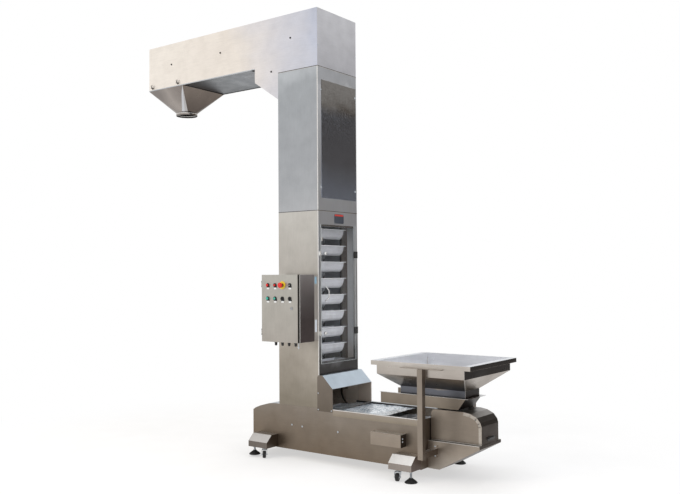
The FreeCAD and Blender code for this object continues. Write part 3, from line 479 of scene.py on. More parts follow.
def plate(mesh, outline, thickness):
    """Gives a flat outline of 3-D points a thickness along the given vector."""
    thickness = Vector(thickness)
    low = [mesh.verts.new(Vector(p)) for p in outline]
    high = [mesh.verts.new(Vector(p) + thickness) for p in outline]
    mesh.faces.new(low)
    mesh.faces.new(high[::-1])
    for k in range(len(low)):
        n = (k + 1) % len(low)
        mesh.faces.new((low[n], low[k], high[k], high[n]))


def rounded(width, height, radius, steps=5):
    """Corner-rounded rectangle round (0, 0)."""
    points = []
    for q, (sx, sy) in enumerate(((1, 1), (-1, 1), (-1, -1), (1, -1))):
        for k in range(steps + 1):
            a = math.pi / 2 * (q + k / steps)
            points.append((sx * (width / 2 - radius) + radius * math.cos(a),
                sy * (height / 2 - radius) + radius * math.sin(a)))
    return points


def pad(mesh, centre, width, height, radius, thickness):
    """Corner-rounded plate whose thickness, along X or along Y, starts at centre."""
    x, y, z = centre
    if thickness[0]:
        plate(mesh, [(x, y + a, z + b) for a, b in rounded(width, height, radius)], thickness)
    else:
        plate(mesh, [(x + a, y, z + b) for a, b in rounded(width, height, radius)], thickness)


def mesh_object(name, mesh, material):
    data = bpy.data.meshes.new(name)
    mesh.to_mesh(data)
    mesh.free()
    data.materials.append(material)
    return put(name, data)


def hang(name, mesh, material, body="frame", bevel=0.0, angle=35):
    """Makes the mesh an object and lets it ride on a body. It may soften its edges."""
    bmesh.ops.recalc_face_normals(mesh, faces=mesh.faces)
    thing = mesh_object(name, mesh, material)
    thing.data.shade_smooth()
    thing.data.set_sharp_from_angle(angle=math.radians(angle))
    if bevel:
        edge = thing.modifiers.new("edge_radius", "BEVEL")
        edge.width, edge.segments, edge.limit_method = bevel, 2, "ANGLE"
    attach(thing, body)
    print(name, "faces", len(thing.data.polygons))
    return thing


# %% [markdown]
# ## Bolts
# Each casing is held by button-head screws with a hexagon socket. The dome catches one bright dot
# and the socket is a dark one. Nobody reads more at this size, so a turned outline with a recess is
# enough, and one mesh holds all the screws of a panel.


# %% Button-head screws
def button_screws(name, spots, normal, radius, material=zinc_plate):
    mesh = bmesh.new()
    height = radius * 0.62
    dome = [(0.0, height * 0.45), (radius * 0.38, height * 0.45), (radius * 0.42, height),
        (radius * 0.70, height * 0.88), (radius * 0.92, height * 0.5), (radius, height * 0.12), (radius, 0.0)]
    for spot in spots:
        turn(mesh, spot, normal, dome, steps=14)
    hang(name, mesh, material)


def screws_both_sides(names, spots, low_y, high_y, radius, material=zinc_plate):
    """The same (x, z) spots on the photographed side and on the far side."""
    for name, y, way in zip(names, (low_y, high_y), (FRONT, BACK)):
        button_screws(name, [(x, y, z) for x, z in spots], way, radius, material)


front, back = base_low.y, base_high.y
face_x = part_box("column_upper_face")[1].x
screws_both_sides(("head_screws_front", "head_screws_back"), [(-1.328, 3.259), (-0.727, 3.261),
    (0.038, 3.251), (-0.161, 3.015)], front, back, 0.008, dark_bolt)
button_screws("head_screw_end", [(face_x, -0.166, 3.152), (face_x, 0.311, 3.152)], END, 0.007)
panel_edge, on_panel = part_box("column_upper_panel")[0].y, 0.002
button_screws("panel_screws", [(face_x + (on_panel if y > panel_edge else 0.0), y, z)
    for y, z in ((-0.138, 2.816), (0.3035, 2.821), (-0.138, 2.07), (0.3000, 2.067))], END, 0.0085)
screws_both_sides(("base_screws_front", "base_screws_back"), [(0.038, 0.258), (0.139, 0.255), (0.478, 0.250)],
                  front, back, 0.008)
hood_low, hood_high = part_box("hood")
screws_both_sides(("hood_screws", "hood_screws_back"), [(hood_low.x + 0.010, 0.398),
    (hood_low.x + 0.010, 0.520), (hood_high.x - 0.012, 0.398)], hood_low.y, hood_high.y, 0.006)
cover_low, cover_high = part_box("tension_cover")
cover_y = -0.2205
button_screws("tension_cover_screws", [(cover_low.x - 0.008, front, 0.258)], FRONT, 0.009)
button_screws("tension_cover_end_screws", [(cover_high.x, cover_y, z) for z in (0.274, 0.253)], END, 0.007)
button_screws("tension_cover_left_screw", [(cover_low.x, cover_y, 0.262)], (-1, 0, 0), 0.008)
arm_low, arm_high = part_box("hopper_posts")
arm_x, arm_plate = (arm_low.x + arm_high.x) / 2, 0.005
feeder_low, feeder_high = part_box("feeder_base")
screws_both_sides(("arm_plate_screws", "arm_plate_screws_back"), [(arm_x - 0.012, z) for z in (0.160, 0.224)],
                  feeder_low.y - arm_plate, feeder_high.y + arm_plate, 0.007)

# %% [markdown]
# ## Seams between casings
# Where one casing ends and the next begins, two folded edges meet and leave a hairline gap with a
# thin bright lip. The shade in the gap is painted: a dark strip that stands a few tenths of a
# millimetre proud, with a slim bright lip below it, because a real gap would be thinner than a pixel.

# %% Casing seams
# painted shadow: a dark finish for the strips that stand for the shade in each seam's gap
seam_painted_shadow = bright_metal("shadow_gap_steel", "#4a4745", 0.6, 5.0)
gap, lip, proud = 0.004, 0.003, 0.0006


def band(mesh, low, high):
    """Box between two corners, as four edges of an outline given a thickness."""
    (x0, y0, z0), (x1, y1, z1) = low, high
    plate(mesh, [(x0, y0, z0), (x1, y0, z0), (x1, y1, z0), (x0, y1, z0)], (0, 0, z1 - z0))


joint_z, top_z, rear_x = lower_high.z, upper_high.z, lower_low.x


def ring_band(mesh, z, height, out):
    """A strip round three sides of the column, left open at the rear."""
    band(mesh, (rear_x, front - out, z), (face_x, front, z + height))
    band(mesh, (rear_x, back, z), (face_x, back + out, z + height))
    band(mesh, (face_x, front - out, z), (face_x + out, back + out, z + height))


mesh = bmesh.new()
for z in (joint_z, top_z):
    ring_band(mesh, z - gap / 2, gap, proud)
band(mesh, (rear_x - proud, front, joint_z - gap / 2), (rear_x, back, joint_z + gap / 2))
hang("casing_seam_gaps", mesh, seam_painted_shadow)
mesh = bmesh.new()
for z in (joint_z, top_z):
    ring_band(mesh, z - gap / 2 - lip, lip, proud * 1.6)
hang("casing_seam_lips", mesh, weld_steel, bevel=0.0004)

# %% [markdown]
# ## Folded edge of the head
# The long side plates of the head end in a narrow turned hem along the bottom, which shows as a dark
# line with a bluish glint above the chute and the open underside.

# %% Head hem
mesh = bmesh.new()
chute_low, chute_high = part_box("discharge_chute")
gusset_x, hem, hem_out = -0.3374, 0.007, 0.0012
for y, out in ((front, -1), (back, 1)):
    y0, y1 = sorted((y, y + out * hem_out))
    band(mesh, (head_low.x, y0, chute_high.z), (gusset_x, y1, chute_high.z + hem))
hang("head_hems", mesh, zinc_plate, bevel=0.0004)

# %% [markdown]
# ## Wing screws at the chute
# The chute hangs on studs and is taken off without tools for washing, so its screws end in wings.
# Two sit on each side of the head above the chute's edge. Each is a washer, a hub and two bent ears.

# %% Wing screws
mesh = bmesh.new()
washer = mm((0, 2), (10, 2), (10, 0), (0, 0))
hub = mm((0, 22), (3, 21), (4, 10), (6, 2), (0, 2))
ear = mm((0.5, 0), (4, 6), (8.5, 22), (8, 30), (5.5, 30), (4.5, 20), (0.5, 8))
for x in (-1.574, -1.246):
    for y, out in ((front, -1), (back, 1)):
        spot = Vector((x, y, 3.080))
        turn(mesh, spot, (0, out, 0), washer, 18)
        turn(mesh, spot, (0, out, 0), hub, 16)
        for side in (-1, 1):
            plate(mesh, [spot + Vector((side * a, out * 0.012, b)) for a, b in ear], (0, out * 0.003, 0))
hang("chute_wing_screws", mesh, bright_metal("shaded_wing_screw", "#6d6a67", 0.35, 3.0), bevel=0.0003)

# %% [markdown]
# ## Welds and folds of the chute and the hopper
# Cones and pyramids of sheet are welded along their corners, then the bead is brushed flat. What is
# left is a bright rounded line along each corner. A curve with a thin round section follows each
# corner, half sunk into the sheet.


# %% Corner beads
def bead(name, lines, radius, material=weld_steel):
    curve = bpy.data.curves.new(name, "CURVE")
    curve.dimensions, curve.bevel_depth, curve.bevel_resolution = "3D", radius, 2
    for line in lines:
        spline = curve.splines.new("POLY")
        spline.points.add(len(line) - 1)
        for point, place in zip(spline.points, line):
            point.co = (*place, 1.0)
    curve.materials.append(material)
    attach(put(name, curve), "frame")
    print(name, "lines", len(lines))


chute_x = (chute_low.x + chute_high.x) / 2
half_length, half_width, neck_r, ring_top = 0.2155, 0.250, 0.088, chute_low.z + 0.021
lines = []
for sx, sy in ((1, 1), (1, -1), (-1, 1), (-1, -1)):
    corner = (chute_x + sx * half_length, middle_y + sy * half_width, chute_high.z - 0.001)
    foot = (chute_x + sx * neck_r * 0.707, middle_y + sy * neck_r * 0.707, ring_top)
    lines.append([corner, foot])
bead("chute_corner_beads", lines, 0.0013)
# painted highlight: a near-white bead round the lip of the outlet ring
ring_z, ring_r = chute_low.z + 0.0165, 0.0935
turns = [math.tau * k / 48 for k in range(49)]
bead("outlet_ring_lip", [[(chute_x + ring_r * math.cos(a), middle_y + ring_r * math.sin(a), ring_z)
                          for a in turns]], 0.0034, edge_painted_highlight)

hopper_low, hopper_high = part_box("hopper")
skirt_z, neck_z, flange_x, flange_y, inward = 0.7166, 0.607, 0.047, 0.006, 0.003
sx0, sx1 = hopper_low.x + flange_x, hopper_high.x - flange_x
sy0, sy1 = hopper_low.y + flange_y, hopper_high.y - flange_y
nx0, nx1, ny0, ny1 = 0.9322, 1.4520, middle_y - 0.101, middle_y + 0.101
lines = []
for x, y, nx, ny in ((sx0, sy0, nx0, ny0), (sx1, sy0, nx1, ny0), (sx1, sy1, nx1, ny1), (sx0, sy1, nx0, ny1)):
    lines.append([(x, y, hopper_high.z - 0.032), (x, y, skirt_z), (nx, ny, neck_z),
                  (nx, ny, hopper_low.z + 0.001)])
bead("hopper_corner_beads", lines, 0.0012)
hopper_x = (nx0 + nx1) / 2
inner = [[(x + (inward if x < hopper_x else -inward), y + (inward if y < middle_y else -inward), z)
          for x, y, z in line[:3]] for line in lines]
bead("hopper_inner_beads", inner, 0.0014)

# %% [markdown]
# ## Hopper rim
# The rim is turned outwards and down, so its top edge is a soft round. A bead of 4 mm radius lies in
# the edge all the way round, and mitre welds cross the flange at the four corners. The bead has a
# lit and a shaded copy: pale steel along the two near sides, and a painted shade of dark bluish grey
# along the two far sides.

# %% Hopper rim
r = 0.004
x0, x1, y0, y1 = hopper_low.x + r, hopper_high.x - r, hopper_low.y + r, hopper_high.y - r
z = hopper_high.z - r * 0.9
# lit near sides and painted shade on the far sides of the rim bead
bead("hopper_rim_edge", [[(x0, y0, z), (x1, y0, z), (x1, y1, z)]], r)
bead("hopper_rim_edge_far", [[(x1, y1, z), (x0, y1, z), (x0, y0, z)]], r, edge_painted_shade)
z = hopper_high.z - 0.0003
bead("hopper_rim_mitres", [[(x, y, z), (a, b, z)] for x, y, a, b in ((x0, y0, sx0, sy0), (x1, y0, sx1, sy0),
    (x1, y1, sx1, sy1), (x0, y1, sx0, sy1))], 0.0010)

# %% [markdown]
# ## Feeder housing
# The vibrator sits under a folded hood whose two cheeks are welded round a bent strip. The weld is
# ground back to a bright band, a finger wide, that follows the cheek's outline. The end wall has a
# black grip moulding for lifting the hood off. A dark strip in the black rubber finish fills the
# slot between hood and base, a painted shadow for the shade in the slot.

# %% Housing band, grip and strip
house_low, house_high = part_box("feeder_housing")
hx0, hx1, hz = house_low.x, house_high.x, house_high.z
outline = [(hx0, hz - 0.028), (hx0 + 0.010, hz - 0.008), (hx0 + 0.030, hz), (hx1 - 0.134, hz),
    (hx1 - 0.082, hz - 0.008), (hx1 - 0.034, hz - 0.030), (hx1 - 0.008, hz - 0.062), (hx1, hz - 0.088),
    (hx1, house_low.z)]
mesh = bmesh.new()
wide = 0.022
for y, out in ((house_low.y, -1), (house_high.y, 1)):
    for (ax, az), (bx, bz) in zip(outline[3:], outline[4:]):
        run = Vector((bx - ax, 0, bz - az)).normalized()
        inward = Vector((run.z, 0, -run.x)) * wide
        a, b = Vector((ax, y, az)), Vector((bx, y, bz))
        plate(mesh, [a, b, b + inward, a + inward], (0, out * 0.0005, 0))
hang("housing_ground_band", mesh, bright_metal("ground_weld_band", "#b7afa5", 0.32, 5.0))

mesh = bmesh.new()
grip_y, grip_z = 0.0805, 0.290
pad(mesh, (hx1, grip_y, grip_z), 0.105, 0.026, 0.010, (0.003, 0, 0))
pad(mesh, (hx1 + 0.003, grip_y, grip_z + 0.004), 0.088, 0.010, 0.004, (0.010, 0, 0))
hang("housing_grip", mesh, black_plastic, bevel=0.0012)
# painted shadow: a dark strip fills the slot between hood and base
mesh = bmesh.new()
band(mesh, (base_high.x, house_low.y + 0.004, house_low.z), (hx0 - 0.0004, house_high.y - 0.004, hz - 0.034))
hang("housing_slot_painted_shadow", mesh, black_rubber, bevel=0.001)

# %% [markdown]
# ## Folded edges that catch the light, drawn as a painted highlight
# A sheet folded over a die keeps a radius of about its own thickness. Each such fold catches the
# light as a thin bright line, and these lines are what draws the casing in the photograph. The line
# is a painted highlight: round beads in a near-white finish, nearly sunk into the fold, a little
# wider than real, so a pixel holds one.

# %% Bright fold lines, a painted highlight
column_x, column_y = face_x - 0.0030, front + 0.0030
top_low, top_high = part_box("base_lid")
tray_low, tray_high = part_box("feed_tray")
shell_low, shell_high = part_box("cabinet_shell")
ledge, just_out, tray_top = feeder_high.z - 0.0006, 0.0006, tray_high.z - 0.0008
# painted highlight: near-white beads along the column's front corner and along the folds below
bead("column_fold_front", [[(column_x, column_y, hood_high.z - 0.02), (column_x, column_y, joint_z - 0.004)],
    [(column_x, column_y, joint_z + 0.002), (column_x, column_y, top_z - 0.004)]], 0.0040, edge_painted_highlight)
lid_line, ledge_line = top_high.z - 0.0008, ledge + 0.0030
folds = [  # name, y, start (x, z), end (x, z), radius
    ("base_lid_fold", front + just_out, (top_low.x, lid_line), (top_high.x - 0.001, lid_line), 0.0036),
    ("tray_lip_fold", tray_low.y + 0.0008, (tray_low.x, tray_top), (tray_high.x - 0.001, tray_top), 0.0016),
    ("feeder_ledge_fold", feeder_low.y + just_out, (feeder_low.x + 0.002, ledge),
     (feeder_high.x - 0.001, ledge), 0.0020),
    ("housing_foot_fold", house_low.y - 0.0002, (hx0, ledge_line), (hx1, ledge_line), 0.0016),
    ("cabinet_lip_fold", shell_low.y + 0.0022, (shell_high.x - 0.001, shell_low.z + 0.002),
     (shell_high.x - 0.001, shell_high.z - 0.002), 0.0022),
]
for name, y, (x0, z0), (x1, z1), radius in folds:
    bead(name, [[(x0, y, z0), (x1, y, z1)]], radius, edge_painted_highlight)

# %% [markdown]
# ## Protective film under the hood
# New sheet comes with a pale blue film. On the guide plate it was left on and has crept into
# creases, which throw small bright and dark flecks. These flecks are painted highlight and painted
# shade: noise runs the film's colour from a dark grey-blue through its own pale blue to near white.
# It is made as a fine grid laid just above the plate, with soft ridges from summed waves, so the
# creases are real shape and not only shading.

# %% Crumpled film
film_with_painted_crease_light, tree = start_material("polyethylene_film_pale_blue_with_painted_crease_light")
place = add(tree, "TexCoord").outputs["Object"]
crease = add(tree, "TexVoronoi", {"Vector": place, "Scale": 26.0}, feature="DISTANCE_TO_EDGE")
fold = noise(tree, place, 34.0, 5.0, distortion=1.4)
# painted highlight and shade: the film's colour runs from dark grey-blue to near white
tone = add(tree, "ValToRGB", {"Fac": fold}, stops=[(0.30, "#5f6f7b"), (0.46, "#a5b3bf"), (0.56, "#f2f6fa"),
    (0.64, "#c3ced8"), (0.8, "#8f9ca7")])
height = add(tree, "Math", (crease.outputs["Distance"], fold), operation="ADD")
bump = add(tree, "Bump", {"Height": height, "Strength": 0.7, "Distance": 0.004})
close_material(tree, {"Base Color": tone, "Roughness": 0.22, "Metallic": 0.15, "Specular IOR Level": 0.7,
                      "Normal": bump})
guide_low, guide_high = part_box("guide_plate")
film_x = (guide_low.x + 0.006, guide_high.x - 0.004)
film_y = (guide_low.y + 0.008, guide_high.y - 0.008)
film_width, film_length = film_y[1] - film_y[0], film_x[1] - film_x[0]
mesh = bmesh.new()
columns, rows = 96, 84
grid = []
for i in range(columns + 1):
    line = []
    for j in range(rows + 1):
        x = film_x[0] + film_length * i / columns
        y = film_y[0] + film_width * j / rows
        ridge = (math.sin(31 * x + 17 * y) * math.sin(23 * y - 9 * x + 1.3)
                 + 0.6 * math.sin(67 * x - 41 * y + 0.7) * math.sin(53 * y + 20 * x)
                 + 0.35 * math.sin(120 * x + 95 * y))
        line.append(mesh.verts.new((x, y, guide_low.z + 0.0045 + 0.0016 * ridge)))
    grid.append(line)
for i in range(columns):
    for j in range(rows):
        mesh.faces.new((grid[i][j], grid[i + 1][j], grid[i + 1][j + 1], grid[i][j + 1]))
film = hang("guide_plate_film", mesh, film_with_painted_crease_light, angle=180)

# %% [markdown]
# ## Chain behind the door
# The buckets hang between two roller chains. The CAD loop is one plain band, so on the rising run,
# the part that the window shows, the band is dressed as chain: figure-of-eight side plates that
# overlap in turn, a roller at each joint and a bright pin end where each bucket is bolted on.

# %% Chain links on the rising run
pitch = 0.0635
rail_low, rail_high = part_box("chain_rails")
chain_low, chain_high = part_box("bucket_chain")
line_x = (rail_low.x + rail_high.x) / 2
joint_known, run_low, run_high = 1.624, 0.53, 2.90
first = joint_known - math.floor((joint_known - run_low) / pitch) * pitch
count = int((run_high - first) / pitch)
link_r, waist_r, link_thick = 0.0078, 0.0056, 0.0018
links, pins, rollers = bmesh.new(), bmesh.new(), bmesh.new()
for y, out in ((chain_low.y, -1), (chain_high.y, 1)):
    inner_y = y - out * 0.006
    for k in range(count):
        z = first + k * pitch
        eight = []
        for end, centre in ((1, z + pitch), (-1, z)):
            for s in range(7):
                a = math.pi * s / 6 if end == 1 else math.pi + math.pi * s / 6
                eight.append((link_r * math.cos(a), centre + link_r * math.sin(a)))
            eight.append((-waist_r * end, z + pitch / 2))
        for face, way in ((y, out), (inner_y, -out)):
            lift = way * (link_thick if k % 2 else 0.0)
            plate(links, [(line_x + a, face + lift, b) for a, b in eight], (0, way * link_thick, 0))
        turn(rollers, (line_x, y + out * 0.0036, z), (0, out, 0), mm((6.2, 0), (6.2, 6), (0, 6)), 14)
        if k % 2 == 0:
            turn(pins, (line_x, y + out * 0.0036, z), (0, out, 0), mm((4.8, 6), (4.8, 12), (3.6, 13.5),
                (0, 13.5)), 12)
hang("chain_side_plates", links, oiled_steel)
hang("chain_rollers", rollers, dark_bolt)
hang("chain_pin_ends", pins, chrome_bright)

# %% [markdown]
# ## Bucket rims
# The rim of each bucket is the thickest part of the moulding. Behind the door it catches the light
# as one bright straight line per bucket, so each rising bucket gets a rounded edge strip along the
# front of its rim, in a near-white finish that is a painted highlight.

# %% Bucket rim edges
# painted highlight: a near-white finish for the bright line on each bucket rim
rim_painted_highlight = moulded_plastic("polypropylene_rim_painted_highlight", "#f2f3f5", 0.38, 1.2)
rim_x, rim_half, rim_drop, sunk, bucket_pitch = line_x + 0.062, 0.162, 0.156, 0.0012, 2 * pitch
door_low, door_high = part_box("door_window")
rims = []
for k in range(-7, 10):
    z = door_high.z - rim_drop + k * bucket_pitch - sunk
    rims.append([(rim_x, middle_y - rim_half + 0.001, z), (rim_x, middle_y + rim_half - 0.001, z)])
bead("bucket_rim_edges", rims, 0.0022, rim_painted_highlight)

# %% [markdown]
# ## Door furniture
# Keepers on the column catch the two ribbed knob screws, and a small pad stops the sheet from
# rattling. A dark brown strip behind the door's top is a painted shadow, where the top of the
# opening lies in shade. The edge of clear sheet gathers light and shows as a pale green-white line,
# which is what makes the door readable at all, so the two side edges and the bottom edge get a thin
# frosted strip of their own: partly the sawn edge's own whiteness, partly painted highlight.

# %% Door edges and keepers
# partly painted highlight: the pale frosted finish of the sawn edges, partly their own whiteness
frosted_edge_and_painted_highlight = moulded_plastic("sawn_polycarbonate_edge_and_painted_highlight", "#c9cfd0", 0.5, 1.0, gloss=0.4)
# painted shadow: a dark brown finish for the shade behind the door's top
door_top_painted_shadow = moulded_plastic("painted_shadow_behind_door_top", "#3a332d", 0.7, 1.0, gloss=0.2)
mesh = bmesh.new()
t, x0, x1 = 0.0012, door_low.x + 0.0005, door_high.x - 0.0005
band(mesh, (x0, door_low.y, door_low.z), (x1, door_low.y + t, door_high.z))
band(mesh, (x0, door_high.y - t, door_low.z), (x1, door_high.y, door_high.z))
band(mesh, (x0, door_low.y + t, door_low.z), (x1, door_high.y - t, door_low.z + t))
hang("door_sawn_edges", mesh, frosted_edge_and_painted_highlight, "inspection_door")
# painted shadow: a dark strip behind the door's top, where the opening lies in shade
mesh = bmesh.new()
band(mesh, (face_x, middle_y - 0.214, door_high.z - 0.0150), (door_low.x - 0.0008, middle_y + 0.194,
    door_high.z - 0.0005))
hang("door_top_painted_shadow_strip", mesh, door_top_painted_shadow, bevel=0.0008)
knob_low, knob_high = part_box("door_knobs")
knob_y, knob_r = (knob_low.y + knob_high.y) / 2, 0.0112
knobs_z = (knob_low.z + 0.012, knob_high.z - 0.012)
mesh = bmesh.new()
for z in knobs_z:
    pad(mesh, (face_x, door_low.y - 0.0080, z), 0.012, 0.034, 0.003, (0.0125, 0, 0))
hang("door_keepers", mesh, chrome_bright, bevel=0.0008)
mesh = bmesh.new()
pad(mesh, (door_high.x, door_low.y + 0.0075, 1.676), 0.012, 0.030, 0.003, (0.004, 0, 0))
hang("door_edge_pad", mesh, chrome_bright, "inspection_door", bevel=0.0008)
mesh = bmesh.new()
for z in knobs_z:
    turn(mesh, (knob_high.x, knob_y, z), END, mm((11.2, 0), (11.2, 0.8), (9.6, 3.4), (6, 5.6), (0, 6.4)), 24)
hang("door_knob_caps", mesh, chrome_bright, "inspection_door")
mesh = bmesh.new()
for z in knobs_z:
    for k in range(18):
        a = math.tau * k / 18
        spot = (knob_high.x - 0.0105, knob_y + knob_r * math.cos(a), z + knob_r * math.sin(a))
        turn(mesh, spot, END, mm((0, 0), (1.4, 0.6), (1.4, 9.2), (0, 9.8)), 6)
hang("door_knob_ribs", mesh, chrome_bright, "inspection_door")

# %% [markdown]
# ## Bare plate and blank labels
# A dark anodised plate sits over the window and pale vinyl labels on the cabinet's mounting strip.
# They carry nothing here: the plate is plain, with rivets, rounded corners and one plain red band.

# %% Blank plates
mesh = bmesh.new()
plate_y, plate_z, plate_thick, rivet_y, rivet_z = 0.084, 1.838, 0.0012, 0.055, 0.0315
pad(mesh, (face_x, plate_y, plate_z), 0.122, 0.074, 0.005, (plate_thick, 0, 0))
hang("blank_plate", mesh, plate_dark, bevel=0.0003)
mesh = bmesh.new()
pad(mesh, (face_x + plate_thick, plate_y, plate_z + 0.027), 0.110, 0.012, 0.002, (0.0004, 0, 0))
hang("blank_plate_band", mesh, plate_band)
mesh = bmesh.new()
for a, b in ((-rivet_y, rivet_z), (rivet_y, rivet_z), (-rivet_y, -rivet_z), (rivet_y, -rivet_z)):
    turn(mesh, (face_x + plate_thick, plate_y + a, plate_z + b), END,
         mm((2.2, 0), (2, 0.8), (1.2, 1.4), (0, 1.6)), 12)
hang("blank_plate_rivets", mesh, chrome_bright)
mount_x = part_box("cabinet_mount")[1].x
for name, y, z, width, height, material in (("blank_label_blue", -0.2075, 1.365, 0.024, 0.052, sticker_blue),
        ("blank_label_pale", -0.2065, 1.024, 0.022, 0.092, sticker_pale)):
    mesh = bmesh.new()
    pad(mesh, (mount_x, y, z), width, height, 0.002, (0.0004, 0, 0))
    hang(name, mesh, material)

# %% [markdown]
# ## Control cabinet
# Eight 22 mm operators sit in two rows: two red pushes, a red mushroom stop on a yellow disc, a key
# switch, two sea-green pushes and two black selectors. Each has a black bezel and a small bright
# legend holder at its lower right. The turned shapes follow the usual outlines of such operators.

# %% Buttons and switches
lid_low, lid_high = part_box("cabinet_door")
button_low, button_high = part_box("cabinet_buttons")
body_r, column_step = 0.014, 0.215 / 3
columns_x = [button_low.x + body_r + k * column_step for k in range(4)]
rows_z = [button_high.z - body_r, button_low.z + body_r]
lid_y = lid_low.y
bezels, reds, greens, blacks, legends = (bmesh.new() for _ in range(5))
bezel = mm((0, 1), (15.5, 1), (15.5, 3), (13.8, 6), (11.8, 6), (11.2, 4), (0, 4))
push = mm((10.4, 3), (10.4, 10.5), (9.4, 12.5), (6, 13.8), (0, 14))
small = mm((8.5, 3), (8.5, 8.5), (7.2, 10.5), (0, 11.2))
stop_place = (0, 2)
for row, z in enumerate(rows_z):
    for column, x in enumerate(columns_x):
        spot = (x, lid_y, z)
        if (row, column) != stop_place:
            turn(bezels, spot, FRONT, bezel, 24)
            pad(legends, (x + 0.004, lid_y, z - 0.023), 0.024, 0.015, 0.002, (0, -0.0022, 0))
            pad(blacks, (x + 0.004, lid_y, z - 0.012), 0.028, 0.012, 0.002, (0, -0.0026, 0))
        if column < 2:
            turn(greens if row else reds, spot, FRONT, small if column else push, 24)
        elif (row, column) != stop_place:
            turn(blacks, spot, FRONT, mm((10.2, 3), (10.2, 8), (9, 9.2), (0, 9.2)), 24)
            if row:
                pad(blacks, (x, lid_y - 0.0085, z), 0.0056, 0.0190, 0.0025, (0, -0.0054, 0))
            else:
                turn(legends, (x + 0.002, lid_y - 0.0092, z), FRONT, mm((3.2, 0), (3.2, 1.2), (0, 1.6)), 16)
mushroom, disc = bmesh.new(), bmesh.new()
stop = (columns_x[2], lid_y, rows_z[0])
turn(disc, stop, FRONT, mm((0, 0), (29.8, 0), (30, 1), (29.4, 2.4), (15, 2.8), (0, 2.8)), 40)
turn(bezels, stop, FRONT, mm((13.5, 2.5), (13.5, 8.5), (12, 11), (0, 11)), 24)
turn(mushroom, stop, FRONT, mm((9.5, 11), (10.5, 18), (19, 21.5), (20, 24), (20, 28.5), (18.6, 32.5),
    (13, 35.2), (0, 35.8)), 36)
operators = [
    ("switch_bezels", bezels, black_plastic, "cabinet_buttons"),
    ("red_pushes", reds, push_red, "cabinet_buttons"),
    ("green_pushes", greens, push_green, "cabinet_buttons"),
    ("selector_switches", blacks, black_plastic, "cabinet_buttons"),
    ("legend_holders", legends, chrome_bright, "cabinet_buttons"),
    ("stop_disc", disc, disc_yellow, "emergency_stop"),
    ("stop_mushroom", mushroom, push_red, "emergency_stop"),
]
for name, mesh, material, stands_for in operators:
    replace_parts(hang(name, mesh, material, "cabinet_lid"), stands_for)

# %% [markdown]
# ## Cabinet seal, lock and glands
# A grey foamed seal fills the gap when the lid closes and shows as a pale line beside the dark slit.
# The lock is a quarter turn with a slotted chrome face. Below, four black cable glands and an earth
# stud pass through the floor of the shell.

# %% Cabinet small parts
inset, thick = 0.004, 0.003
mesh = bmesh.new()
x0, x1, z0, z1 = shell_low.x + inset, lid_high.x - inset, lid_low.z + inset, lid_high.z - inset
y0, y1 = lid_high.y, shell_low.y - 0.0004
for a, b, c, d in ((x0, z0, x1, z0 + thick), (x0, z1 - thick, x1, z1),
                   (x0, z0 + thick, x0 + thick, z1 - thick), (x1 - thick, z0 + thick, x1, z1 - thick)):
    band(mesh, (a, y0, b), (c, y1, d))
hang("cabinet_seal", mesh, seal_rubber, "cabinet_lid")
mesh = bmesh.new()
lock = (0.246, lid_y, 1.160)
turn(mesh, lock, FRONT, mm((0, 1), (11.5, 1), (11.5, 3), (9.5, 5.5), (7, 5.5), (6.6, 4), (0, 4)), 24)
pad(mesh, (lock[0], lid_y - 0.004, lock[2]), 0.0022, 0.0110, 0.0008, (0, -0.0020, 0))
hang("cabinet_lock", mesh, bright_metal("worn_lock_steel", "#b2b3b5", 0.22, 3.0), "cabinet_lid")
gland_low, gland_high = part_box("cable_glands")
mesh = bmesh.new()
nut_r, gland_y = 0.0127, (gland_low.y + gland_high.y) / 2
step = (gland_high.x - gland_low.x - 2 * nut_r) / 3
for k in range(4):
    spot = (gland_low.x + nut_r + k * step, gland_y, gland_high.z)
    turn(mesh, spot, UNDER, mm((12.7, 0), (12.7, 7.5), (11, 8.8), (8.8, 8.8)), 6)
    turn(mesh, spot, UNDER, mm((10, 8.8), (10, 20), (9.6, 24), (8, 28.5), (5.2, 31), (3, 30.8), (3, 15),
        (0, 15)), 20)
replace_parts(hang("cable_gland_nuts", mesh, black_plastic, bevel=0.0004), "cable_glands")
mesh = bmesh.new()
turn(mesh, (0.2677, gland_y, shell_low.z), UNDER, mm((7, 0), (7, 5), (4, 5.4), (4, 30), (8.5, 30.4),
    (8.5, 40), (4, 40.4), (4, 48), (0, 48.6)), 6)
hang("cabinet_earth_stud", mesh, zinc_plate)

# %% [markdown]
# ## Levelling feet
# A foot is a rubber pad with a ribbed skirt, a threaded stem and a lock nut under the bracket. The
# left pair is wound up, so the machine stands on its right pair and its castors. The thread is a
# stack of fine ridges: a true helix looks the same from a metre away and costs far more faces.

